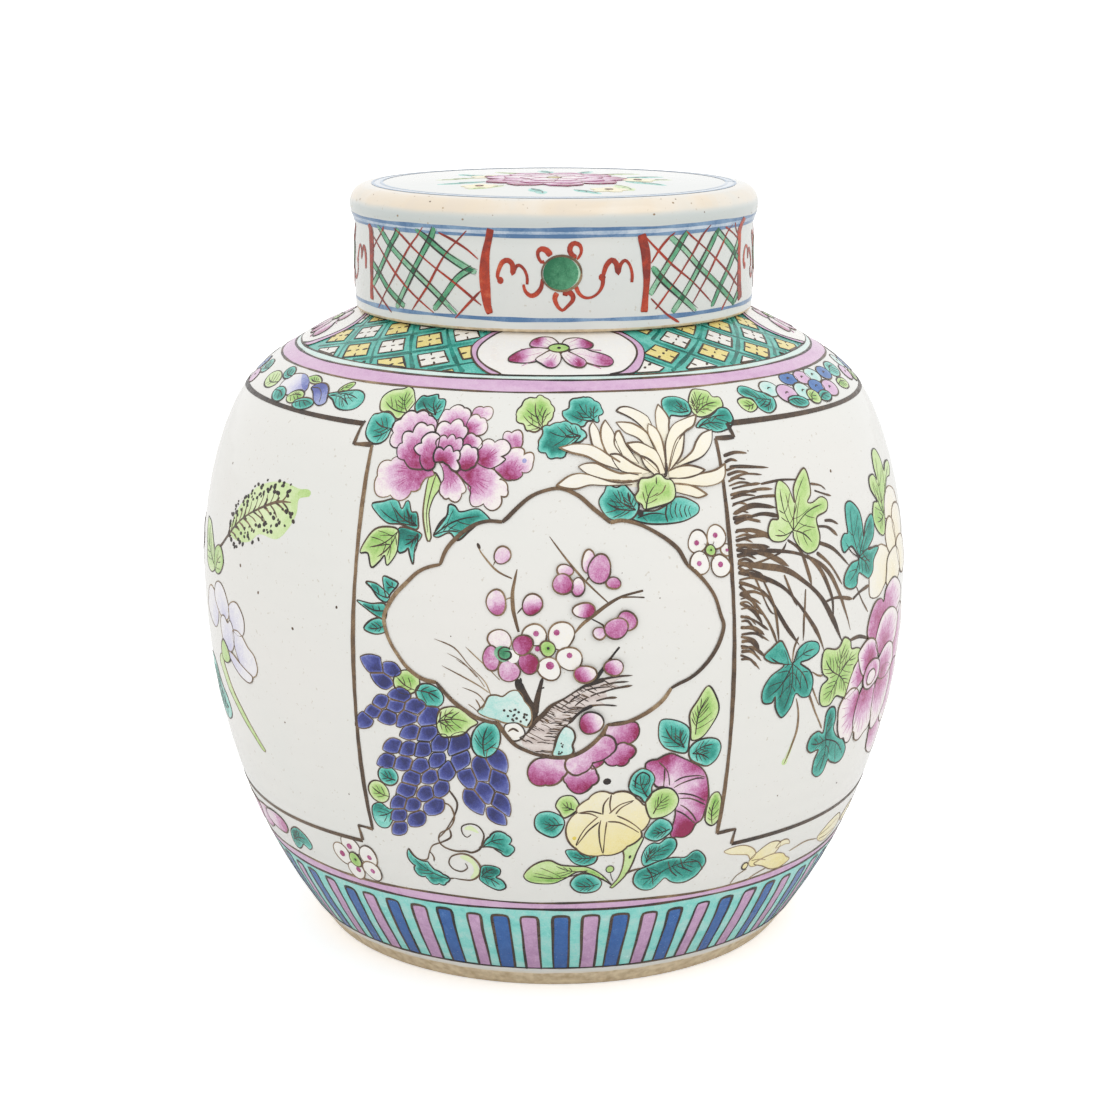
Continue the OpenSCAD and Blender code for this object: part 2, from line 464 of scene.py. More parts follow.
class Coat:
    """The mesh of one colour of one motif."""

    def __init__(self):
        self.xy, self.lift, self.tone, self.faces, self.sharp = [], [], [], [], []

    def count(self):
        return sum(len(a) for a in self.xy)

    def add(self, xy, lift, tone, faces, rim):
        first = self.count()
        self.xy.append(np.asarray(xy, float))
        self.lift.append(np.asarray(lift, float))
        self.tone.append(np.asarray(tone, float))
        self.faces += [tuple(first + i for i in f) for f in faces]
        self.sharp += [(first + a, first + b) for a, b in rim]


class Motif:
    """A painted motif: coats of enamel on one surface, one mesh for each paint."""

    def __init__(self, name, surface, body, at=(0.0, 0.0), size=1.0, flip=False):
        self.name, self.surface, self.body = name, surface, body
        self.coats = {}
        self.random = random.Random(name)
        self.move(at, 0.0, size, flip)

    def move(self, at, turn=0.0, size=1.0, flip=False, level=0):
        """Everything drawn from here on is turned, scaled and set down at this drawing point."""
        self.at, self.turn, self.size, self.flip, self.level = np.array(at, float), turn, size, flip, level
        return self

    def lay(self, p):
        """Where points of the motif's own drawing come on the surface's drawing."""
        p = np.asarray(p, float) * self.size
        if self.flip:
            p = p * (-1, 1)
        return p @ rotation(self.turn) + self.at

    def unlay(self, p):
        p = (np.asarray(p, float) - self.at) @ rotation(self.turn).T
        if self.flip:
            p = p * (-1, 1)
        return p / self.size

    def coat(self, paint):
        return self.coats.setdefault(paint, Coat())

    def fill(self, paint, edge, level, tone, grain=1.6):
        """A field of enamel inside a closed edge, meshed with points about a grain apart."""
        edge = np.asarray(edge, float)
        flat = self.lay(edge)
        ring = np.roll(flat, -1, axis=0)
        area = abs(np.sum(flat[:, 0] * ring[:, 1] - ring[:, 0] * flat[:, 1])) / 2
        around = np.sum(np.linalg.norm(ring - flat, axis=1))
        if area < SMALLEST:
            return
        grain = min(grain, max(0.28, 1.1 * area / around))
        low, high = flat.min(0), flat.max(0)
        rows = np.arange(low[1] + grain * 0.5, high[1], grain * 0.87)
        dots = [(x, y) for k, y in enumerate(rows)
                for x in np.arange(low[0] + grain * (0.3 + 0.5 * (k % 2)), high[0], grain)]
        dots = np.array(dots).reshape(-1, 2)
        if len(dots):
            dots = dots[inside(dots, flat)]
        if len(dots):
            dots = dots[from_edge(dots, flat) > grain * 0.42]
        n = len(flat)
        made = geometry.delaunay_2d_cdt([Vector(p) for p in np.vstack([flat, dots])], [], [list(range(n))],
                1, 1e-5)
        points = np.array([tuple(v) for v in made[0]])
        tris = [f for f in made[2] if len(f) == 3]
        if not tris:
            return
        corners = points[np.array(tris)]
        (ax, ay), (bx, by) = (corners[:, 1] - corners[:, 0]).T, (corners[:, 2] - corners[:, 0]).T
        top = [f if area > 0 else f[::-1] for f, area in zip(map(tuple, tris), ax * by - ay * bx)]
        edges = {(f[i], f[(i + 1) % 3]) for f in top for i in range(3)}
        rim = [(i, j) for i, j in edges if (j, i) not in edges]
        count = len(points)
        base = (self.level + level + 1) * LEVEL
        lift = np.full(count, base + FIELD)
        lift[[i for i, _ in rim]] = base
        under = [tuple(count + i for i in f[::-1]) for f in top]
        walls = [(j, i, count + i, count + j) for i, j in rim]
        local = self.unlay(points)
        shade = tone(local) if callable(tone) else np.full(count, float(tone))
        self.coat(paint).add(np.vstack([points, points]), np.concatenate([lift, np.full(count, -SUNK)]),
                np.tile(shade, 2), top + under + walls, rim)

    def line(self, points, width, level, tone=0.75, ends=(0.45, 0.45), paint="outline", raw=False,
            press=0.25):
        """A brush line through given points, thinner at its ends, that swells and thins a little."""
        p = self.lay(np.asarray(points, float) if raw else smooth(points, step=0.8 / self.size))
        n = len(p)
        if n < 2:
            return
        side = leftward(p)
        t = np.linspace(0, 1, n)
        phase = self.random.uniform(0, 6.28)
        swell = 1 + press * np.sin(t * (3 + n * 0.11) + phase)
        w = width / 2 * swell * np.minimum(1, np.minimum(ends[0] + t * 5, ends[1] + (1 - t) * 5))
        base = (self.level + level + 1) * LEVEL
        xy = np.stack([p - side * w[:, None], p, p + side * w[:, None], p], 1).reshape(-1, 2)
        lift = np.tile([base, base + STROKE, base, -SUNK], n)
        ink = tone + 0.16 * np.sin(t * 4 + phase * 2)
        faces, rim = [], []
        for i in range(n - 1):
            a, b = 4 * i, 4 * i + 4
            faces += [(b + k, b + (k + 1) % 4, a + (k + 1) % 4, a + k) for k in range(4)]
            rim += [(a, b), (a + 2, b + 2)]
        faces += [(0, 1, 2, 3), tuple(4 * n - 1 - k for k in range(4))]
        self.coat(paint).add(xy, lift, np.repeat(ink, 4), faces, rim)

    def loop(self, points, width, level, tone, paint="outline", raw=False, press=0.25):
        """A closed brush line, drawn as one stroke that ends where it began."""
        p = np.asarray(points, float) if raw else smooth(points, True)
        self.line(np.vstack([p, p[:1]]), width, level, tone, (0.8, 0.8), paint, raw=True, press=press)

    def shape(self, paint, points, level, tone, line, ink=0.75, raw=False, grain=1.6):
        """A field with its outline."""
        edge = np.asarray(points, float) if raw else smooth(points, True, 0.8 / self.size)
        self.fill(paint, edge, level, tone, grain=grain)
        if line:
            self.loop(edge, line, level + OVER, ink, raw=True)

    def dot(self, paint, centre, radius, level, tone, line=0.0, oval=1.0, lean=0.0):
        a = np.linspace(0, 2 * math.pi, max(8, int(radius * 9)), endpoint=False)
        p = np.stack([radius * oval * np.cos(a), radius * np.sin(a)], 1)
        self.shape(paint, p @ rotation(lean) + centre, level, tone, line, raw=True, grain=0.8)

    def build(self):
        for paint, coat in self.coats.items():
            xy, lift = np.vstack(coat.xy), np.concatenate(coat.lift)
            mesh = bpy.data.meshes.new(f"{self.name}_{paint}")
            mesh.from_pydata(self.surface.place(xy[:, 0], xy[:, 1], lift).tolist(), [], coat.faces)
            mesh.attributes.new("tone", "FLOAT", "POINT").data.foreach_set(
                "value", np.concatenate(coat.tone).astype(np.float32))
            mesh.shade_smooth()
            rim = {(min(a, b), max(a, b)) for a, b in coat.sharp}
            sharp = mesh.attributes.new("sharp_edge", "BOOLEAN", "EDGE")
            sharp.data.foreach_set("value", [tuple(sorted(e.vertices)) in rim for e in mesh.edges])
            slot, material = PAINTS[paint]
            mesh.materials.append(material)
            piece = bpy.data.objects.new(mesh.name, mesh)
            bpy.context.scene.collection.objects.link(piece)
            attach(piece, self.body)


# ---------------------------------------------------------------- the porcelain


AROUND = 192  # faces round a turned piece


def lathe(name, outline, node, body, marks, glazes=(GLAZE, GLAZE_POOL)):
    """A turned piece from a closed half outline that starts and ends on the axis. marks are functions of
    radius, height and angle that give the named mesh attributes."""
    rings = outline[1:-1]
    n = len(rings)
    angle = np.arange(AROUND) * 2 * math.pi / AROUND
    points = wrap(rings[:, 0][:, None], rings[:, 1][:, None], angle[None, :]).reshape(-1, 3)
    faces = []
    for i in range(n - 1):
        a, b = i * AROUND, (i + 1) * AROUND
        faces += [(a + j, a + (j + 1) % AROUND, b + (j + 1) % AROUND, b + j) for j in range(AROUND)]
    middle, last = len(points), (n - 1) * AROUND
    faces += [(middle, (j + 1) % AROUND, j) for j in range(AROUND)]
    faces += [(last + j, last + (j + 1) % AROUND, middle + 1) for j in range(AROUND)]
    end_z = [outline[0][1], outline[-1][1]]
    points = np.vstack([points, [(0, 0, z * MM) for z in end_z]])
    r = np.append(np.repeat(rings[:, 0], AROUND), [0, 0])
    z = np.append(np.repeat(rings[:, 1], AROUND), end_z)
    t = np.append(np.tile(angle, n), [0, 0])
    mesh = bpy.data.meshes.new(name)
    mesh.from_pydata(points.tolist(), [], faces)
    for mark, value in marks.items():
        mesh.attributes.new(mark, "FLOAT", "POINT").data.foreach_set("value",
                value(r, z, t).astype(np.float32))
    mesh.shade_smooth()
    mesh.materials.append(porcelain(name + "_glaze", *glazes))
    piece = bpy.data.objects.new(name, mesh)
    bpy.context.scene.collection.objects.link(piece)
    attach(piece, body)
    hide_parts(node)


def near(value, centre, half):
    """1 close to a centre, falling to 0 at one and a half times half away from it."""
    return np.clip(1.5 - np.abs(value - centre) / half, 0, 1)


def jar_clay(r, z, t):
    foot = (z < 5.0) & (r > FOOT_IN - 3)
    seat = (z > SEAT_Z - 0.4) & (r > NECK_R - 0.4) & (z < NECK_Z)
    return np.where(foot | seat | (z > NECK_Z - 1.6), 1.0, 0.0)


def jar_cream(r, z, t):
    return np.where((z < 6) & (r > FOOT_IN), 0.55, 0.0) + np.where((z > SEAT_Z) & (r < NECK_R), 0.3, 0.0)


def lid_clay(r, z, t):
    return np.where(z < LID_FOOT + 0.9, 1.0, 0.0)


def lid_cream(r, z, t):
    outside = r > CROWN_R - 1.5
    bloom = near(z, RIM_Z + 3.3, 2.7) * (0.74 + 0.16 * np.cos(t + 0.5))
    return np.where(outside, bloom, 0.1)


# painted shade: a grey band just under the lid's rim, on the outside only
def lid_painted_shade(r, z, t):
    return np.where(r > CROWN_R - 1.5, near(z, RIM_Z - 0.6, 1.7), 0.0)


lathe("porcelain_jar", jar_outline(), "jar_body", "jar", {"clay": jar_clay, "cream": jar_cream})
lathe("porcelain_lid", lid_outline(), "lid", "lid", {"clay": lid_clay, "cream": lid_cream,
        "painted_shade": lid_painted_shade}, (LID_GLAZE, LID_GLAZE_POOL))


# ---------------------------------------------------------------- brush habits


def lobed(cusps, step=0.45):
    """A closed edge through corners (x, y) or (x, y, bow). bow swells the run to the next corner outwards."""
    p = np.array([c[:2] for c in cusps], float)
    after = np.roll(p, -1, axis=0)
    turn = np.sign(np.sum(p[:, 0] * after[:, 1] - p[:, 1] * after[:, 0]))
    edge = []
    for here, there, cusp in zip(p, after, cusps):
        way = there - here
        bow = cusp[2] if len(cusp) > 2 else 0.06
        n = max(2, int(np.linalg.norm(way) * (1 + abs(bow)) / step))
        t = (np.arange(n) / n)[:, None]
        edge.append(here + way * t + turn * np.array([way[1], -way[0]]) * bow * np.sin(math.pi * t) ** 0.7)
    return np.vstack(edge)


def pointed(first, tip, second):
    """The edge of a petal that comes to a point: up one side to the tip, and back down the other."""
    step = 0.7
    return np.vstack([smooth(list(first) + [tip], step=step), smooth([tip] + list(second), step=step)[1:]])


def petal(m, points, base, deep, pale, level, line=0.45, ink=0.6, span=1.0, raw=False, rim=0.0):
    """A rose petal, deep in colour at its base and pale at its edge, or the other way round. rim whitens a
    margin of that width along its far edge."""
    base = np.array(base, float)
    edge = points if raw else smooth(points, True, 0.45 / m.size)
    far = np.linalg.norm(edge - base, axis=1).max() * span

    def tone(p):
        t = np.clip(np.linalg.norm(p - base, axis=1) / far, 0, 1)
        streak = 0.07 * np.sin(np.arctan2(p[:, 1] - base[1], p[:, 0] - base[0]) * 23)
        full = deep + (pale - deep) * t * t * (3 - 2 * t) + streak * (1 - t)
        if not rim:
            return full
        margin = np.clip(1.25 - from_edge(p, edge) / rim, 0, 1) * np.clip(2.6 * t - 0.9, 0, 1)
        return full * (1 - 0.9 * margin)

    m.fill("rose", edge, level, tone, grain=0.8)
    if line:
        m.loop(edge, line, level + OVER, ink, raw=True)


def vein(m, start, end, edge, level, pairs, ink):
    """A midrib with fine curved strokes that leave it on both sides and stop short of the edge."""
    width, bend = 0.26, 0.1
    start, end = np.array(start, float), np.array(end, float)
    way = end - start
    side = np.array([-way[1], way[0]])
    t = np.linspace(0, 0.93, 14)[:, None]
    rib = start + way * t + side * bend * np.sin(math.pi * t)
    m.line(rib, width * 1.3, level, ink, ends=(0.9, 0.2), raw=True)
    for k in range(2 * pairs):
        sign = 1 if k % 2 else -1
        foot = 0.16 + 0.52 * (k // 2) / pairs + m.random.uniform(-0.03, 0.05)
        out = sign * (0.34 - 0.06 * (k // 2)) * m.random.uniform(0.85, 1.15)
        u = np.linspace(0, 1, 9)[:, None]
        sideways = bend * math.sin(math.pi * foot) + out * u ** 0.75
        tries = start + way * (foot + 0.34 * u) + side * sideways
        kept = inside(tries, edge) & (from_edge(tries, edge) > 0.45)
        stop = int(np.argmin(kept)) if not kept.all() else len(tries)
        if stop > 3:
            m.line(tries[:stop], width * m.random.uniform(0.7, 1.0), level, ink - 0.1, ends=(0.6, 0.12),
                    raw=True)


def leaf(m, paint, points, base, tips, level, pairs=3, line=0.44, deep=0.85, pale=0.1, raw=False, ruffle=0.0):
    """A leaf, pale along its edge and deep inside, with veins to its tips and perhaps a ruffled edge."""
    base = np.array(base, float)
    edge = points if raw else smooth(points, True, 0.7 / m.size)
    if ruffle:
        gone = np.concatenate([[0], np.cumsum(np.linalg.norm(np.diff(edge, axis=0), axis=1))])
        after = np.roll(edge, -1, axis=0)
        way = after - np.roll(edge, 1, axis=0)
        way /= np.linalg.norm(way, axis=1)[:, None] + 1e-9
        turn = np.sign(np.sum(edge[:, 0] * after[:, 1] - edge[:, 1] * after[:, 0]))
        lobes = max(3, round(gone[-1] / 3.4))
        wave = np.abs(np.sin(math.pi * lobes * gone / gone[-1] + m.random.uniform(0, 3))) ** 0.7 - 0.55
        edge = edge + turn * ruffle * wave[:, None] * np.stack([way[:, 1], -way[:, 0]], 1)
    middle = edge.mean(0)
    inner = max(from_edge(middle[None], edge)[0], 0.8)
    lean = m.random.uniform(0, 6.28)

    def tone(p):
        rim = np.clip(from_edge(p, edge) / (0.62 * inner), 0, 1)
        lit = (p - middle) @ np.array((math.cos(lean), math.sin(lean))) / (2.2 * inner)
        return pale + (deep - pale) * rim * rim * (3 - 2 * rim) * np.clip(0.78 + 0.4 * lit, 0, 1.1)

    m.fill(paint, edge, level, tone, grain=0.8)
    if line:
        m.loop(edge, line, level + OVER, 0.8, raw=True)
    for tip in tips:
        vein(m, base, tip, edge, level + 1.8, pairs, ink=1.0 if paint == "teal" else 0.85)


def oval(centre, rx, ry, lean=0.0, n=14):
    a = np.linspace(0, 2 * math.pi, n, endpoint=False)
    p = np.stack([rx * np.cos(a), ry * np.sin(a)], 1)
    return p @ rotation(math.radians(lean)) + np.array(centre, float)


def uneven(m, centre, radius, oval_by=1.0):
    """A round outline drawn by hand, not quite true."""
    a = np.linspace(0, 2 * math.pi, 12, endpoint=False)
    one, two = m.random.uniform(0, 6), m.random.uniform(0, 6)
    r = radius * (1 + 0.06 * np.sin(2 * a + one) + 0.035 * np.sin(3 * a + two))
    return smooth(np.stack([r * oval_by * np.cos(a), r * np.sin(a)], 1) + np.array(centre, float), True, 0.45)


def stroke(m, points, width, level, tone):
    """A brush stroke that starts fat and flicks out to nothing."""
    m.line(points, width, level, tone, ends=(0.7, 0.08))


# ---------------------------------------------------------------- the front field, between the two panels


def peony(name, at, size=1.0):
    m = Motif(name, jar_surface, "jar", at, size=size)
    leaf(m, "lime", [(-60, 180), (-58, 183), (-54, 184), (-52.5, 185), (-50, 184), (-48, 181.5), (-47, 179),
            (-50, 174), (-54, 175.5), (-58, 176)], (-48, 176), [(-58.5, 179.5), (-52, 183.5)], 0)
    leaf(m, "teal", [(-46.5, 179), (-45.5, 182), (-43.5, 182), (-42, 182.5), (-40, 183), (-39, 181.5),
            (-37, 181.5), (-36, 180), (-36, 177), (-37, 174.5), (-40, 176.5), (-43, 177.5), (-45, 176.5)],
            (-38, 176), [(-44.5, 180.5), (-40.5, 182), (-37.3, 180)], 0, 2)
    leaf(m, "teal", [(-60, 174), (-58, 175), (-55, 176), (-52.5, 175), (-51, 173), (-51.5, 170), (-52, 168),
            (-54, 166.5), (-57, 166.5), (-60, 169)], (-51.5, 171), [(-58.5, 173), (-57.5, 168)], 0, 2)
    leaf(m, "teal", [(-52.5, 150.5), (-49, 151.5), (-46.5, 152.3), (-44.5, 152), (-43, 150), (-42, 152),
            (-41, 152), (-40, 149.5), (-38.5, 149.5), (-37.8, 147.5), (-38, 145), (-43, 146), (-47, 146),
            (-51, 148.5)], (-38, 146), [(-50.5, 150), (-46, 150.8), (-41.5, 150.5)], 0, 2)
    leaf(m, "teal", [(-43.2, 145), (-37, 144.3), (-36.5, 143), (-38, 140.5), (-38.2, 136), (-39.5, 138.5),
            (-40, 140), (-41, 139), (-43, 139)], (-37.5, 144), [(-41.5, 140.5), (-38.6, 138)], 0, 2)
    leaf(m, "lime", [(-54.5, 137.5), (-53, 141), (-50.5, 144), (-47, 145), (-43.5, 144.5), (-43, 141),
            (-43.5, 138), (-45.8, 135), (-46.8, 137.5), (-48, 136), (-50.5, 134), (-52, 137.5)],
            (-43.5, 144), [(-52.5, 139), (-49.5, 136.5)], 2, 2, deep=0.7)
    leaf(m, "teal", [(-33, 144), (-31, 147), (-29.5, 149.5), (-29.3, 152), (-27.5, 151.8), (-26.3, 150.5),
            (-25, 150.5), (-22, 151.3), (-20, 151), (-17.3, 148.5), (-20, 148), (-23, 145.5), (-26, 143),
            (-28.5, 144.8), (-31.5, 143.5)], (-33, 143.8), [(-28.5, 150), (-19.5, 149.5), (-25, 145)], 0, 3)
    m.shape("lime", [(-35.9, 159.3), (-36.5, 155), (-36.6, 150), (-35.9, 146), (-34.5, 142.3),
            (-33.6, 143.2), (-34.4, 147), (-34.8, 150), (-34, 153.4), (-32.5, 155.8), (-32.2, 157.4),
            (-34.2, 160)], 0, fade((-34, 142), (-34, 160), 0.0, 0.45), 0.42, 0.7)
    m.line([(-33.9, 160), (-34.5, 157.5), (-35.3, 153), (-35.5, 149), (-34.7, 144.5)], 0.28, 2, 0.6)
    petals = [
        (0, [(-47.8, 165.8, 0.35), (-50.3, 169.8, 0.38), (-49.3, 173.9, 0.32), (-44.5, 176.2, 0.26),
                (-40.1, 175.7, 0.14), (-36.6, 173.5), (-37, 168), (-43, 165)], (-41, 168.5), 0.62, 0.95,
                0.55, 0.8),
        (0, [(-36.3, 173.3, 0.1), (-35.4, 178), (-34, 178, 0.28), (-29.2, 178.9, 0.3), (-26.6, 175.3, 0.1),
                (-26, 171), (-35, 170)], (-30, 171.5), 0.8, 0.85, 0.45, 0.6),
        (0, [(-25.9, 178.5, 0.2), (-22.9, 179.3, 0.42), (-19.6, 176.4, 0.1), (-20.8, 175.2), (-26, 175.5)],
                (-25.5, 176), 0.5, 0.9, 0.38, 0.45),
        (0, [(-15.3, 170.3, 0.4), (-12.8, 171.8, 0.45), (-9.3, 170.1, 0.35), (-12.4, 167.4, 0.1)],
                (-12, 168.3), 0.6, 1.0, 0.42, 0.5),
        (2, [(-26.6, 175.6, 0.35), (-23, 175.8, 0.25), (-20.8, 174.5, 0.28), (-22.1, 170.8), (-27.1, 171)],
                (-26, 171.5), 0.85, 0.75, 0.4, 0.5),
        (2, [(-15, 165.3, 0.1), (-12.5, 167.3, 0.1), (-9.2, 167.5, 0.25), (-8.8, 165.8, 0.55),
                (-6.0, 163.6, 0.3), (-9.2, 161.2, 0.1), (-8.8, 160.6, 0.15), (-11.8, 159.1, 0.15),
                (-14.7, 159.8), (-17.1, 161.9)], (-13, 159.3), 0.95, 0.72, 0.4, 0.45),
        (2, [(-46.6, 163.5, 0.15), (-48.7, 162.2, 0.36), (-52.2, 157.9, 0.1), (-52.6, 157.2, 0.42),
                (-47.1, 153.3, 0.3), (-40.8, 154.8, 0.15), (-38.2, 155.8, -0.1), (-36.6, 158.7),
                (-34.5, 159.5), (-36, 161.5), (-44.5, 163)], (-39, 160.3), 0.8, 0.72, 0.38, 0.35),
        (2, [(-28.2, 160.8, 0.03), (-23.4, 156.9, 0.1), (-23.3, 155.3, 0.5), (-19.5, 152.7, 0.35),
                (-14.5, 152.9, 0.1), (-14.7, 154.8, 0.42), (-12.9, 156.6, 0.25), (-15.4, 159.1, 0.1),
                (-14.7, 159.9, 0.1), (-18.9, 162, 0.1), (-21, 163.2), (-26, 163)], (-25, 160), 0.85, 0.7,
                0.42, 0.5),
        (4, [(-33.4, 162.6, -0.12), (-31.6, 158.2, 0.1), (-32.4, 156.1, 0.18), (-31.3, 154, 0.25),
                (-29.5, 153.7, 0.42), (-25.8, 155.1, 0.35), (-25, 157), (-28.2, 160.3), (-30, 163)],
                (-30.3, 160.6), 0.68, 0.78, 0.4, 0.5),
        (4, [(-46.6, 163.2, 0.1), (-47.5, 166.1, 0.2), (-46.2, 167.2, 0.5), (-43.7, 170.4, 0.42),
                (-39.5, 172.6, 0.3), (-36.8, 171.6), (-37, 166), (-38, 160.8), (-42.4, 160.8, 0.05),
                (-44.5, 162.7)], (-40.5, 162.3), 0.88, 0.85, 0.5, 0.75),
        (4, [(-36.3, 171.1, 0.42), (-32.2, 173.5, 0.42), (-27.8, 173.2, 0.25), (-26.2, 171.2), (-28, 168.5),
                (-34, 168.5)], (-31, 168.5), 0.78, 0.85, 0.5, 0.75),
        (4, [(-21.6, 168.2, 0.3), (-17.5, 168.9, 0.32), (-12.6, 167.4, 0.15), (-15.3, 165.2),
                (-13.9, 164.5, 0.08), (-18.2, 161.9, 0.08), (-22.2, 163.4), (-23, 166)], (-20.8, 163.8),
                0.9, 0.62, 0.42, 0.55),
        (5, [(-26.8, 170, 0.3), (-23.4, 170.4, 0.2), (-21.3, 168.7, 0.2), (-21.8, 167), (-25, 165.5),
                (-28, 167)], (-26.3, 168.6), 0.8, 0.8, 0.48, 0.75),
        (7, [(-34.7, 169.9, 0.28), (-40.3, 168.5, 0.1), (-39.9, 167.6, 0.15), (-42.1, 166.1, 0.1),
                (-39.6, 164.3, 0.1), (-38.7, 161.6, 0.28), (-34.7, 161.6), (-35, 165)], (-35.8, 162.8),
                0.92, 0.88, 0.5, 0.8),
        (7, [(-35.3, 167.4, 0.25), (-34.7, 169.3, 0.35), (-32.1, 169.3, 0.5), (-29.5, 169.3, 0.42),
                (-27.1, 167.9, 0.2), (-27.4, 166.3), (-34, 165.5)], (-31.5, 165.5), 0.72, 1.15, 0.48, 0.75),
        (9, [(-27.4, 166.6, 0.35), (-24.2, 167.2, 0.3), (-22.2, 165.6, 0.15), (-22.4, 163.2, 0.2),
                (-23.7, 161.9, 0.15), (-26.3, 161.2), (-27.8, 162.5)], (-24.8, 161.6), 1.0, 0.85, 0.5, 0.8),
        (11, [(-34.9, 162.9, 0.1), (-35.4, 165.1, 0.42), (-32.6, 166.1, 0.5), (-29.6, 165.8, 0.45),
                (-27.4, 164.5, 0.3), (-28.2, 163.6), (-27.1, 162.2, 0.3), (-28.4, 160.7, 0.1),
                (-30.5, 162.2), (-32.4, 163.1)], (-32.6, 162.9), 1.05, 0.92, 0.55, 0.85),
    ]
    for level, cusps, base, deep, span, line, ink in petals:
        edge = lobed(cusps)
        petal(m, edge, base, deep, 0.04, level, line=0.86 * line, ink=ink + 0.1, span=1.4 * span, raw=True,
                rim=1.7)
        away = np.linalg.norm(edge - base, axis=1)
        for k in range(0, len(edge), 5):
            if away[k] > 0.5 * away.max():
                foot, tip = (np.array(base) + (edge[k] - base) * part for part in (0.3, 0.6))
                m.line([foot, tip], 0.16, level + 1.2, 0.4 + 0.35 * deep, paint="rose", ends=(0.7, 0.05))
    m.dot("lilac", (-8.5, 164.2), 0.7, 3, 0.9)
    m.build()


def top_leaves(name, at):
    m = Motif(name, jar_surface, "jar", at)
    leaf(m, "lime", [(-11.8, 178), (-10.2, 181), (-9, 183), (-6.5, 183), (-5, 184), (-2.5, 183),
            (-0.5, 180.5), (0, 178), (-2, 174.5), (-5, 172.5), (-8, 172.5), (-9, 174), (-11.5, 175.5)],
            (-3.5, 173), [(-10, 177.5), (-6, 182), (-2, 180)], 0, 2, ruffle=0.5)
    leaf(m, "teal", [(2.8, 178.5), (5, 179.5), (5, 181.5), (7, 183), (9, 183), (10.5, 183.5), (13, 182.5),
            (15, 180.5), (15.5, 178), (14, 176.5), (13.5, 175), (10.5, 175.5), (9.5, 174), (7.5, 174),
            (5, 175), (3.5, 176)], (12.5, 175.5), [(5, 177.5), (8, 181.5), (13.5, 180.5)], 0, 2, ruffle=0.5)
    leaf(m, "teal", [(-4.8, 169), (-3.5, 171), (-3.2, 173.5), (0, 174.5), (3, 175.2), (6, 174.5),
            (8, 173.5), (9.5, 171.5), (9, 170), (5, 168.5), (3, 165.5), (-1, 165), (-2.5, 166.2),
            (-4.3, 167)], (8, 171), [(-2, 172.5), (3, 173.8), (0.5, 167)], 2, 2, ruffle=0.5)
    m.build()


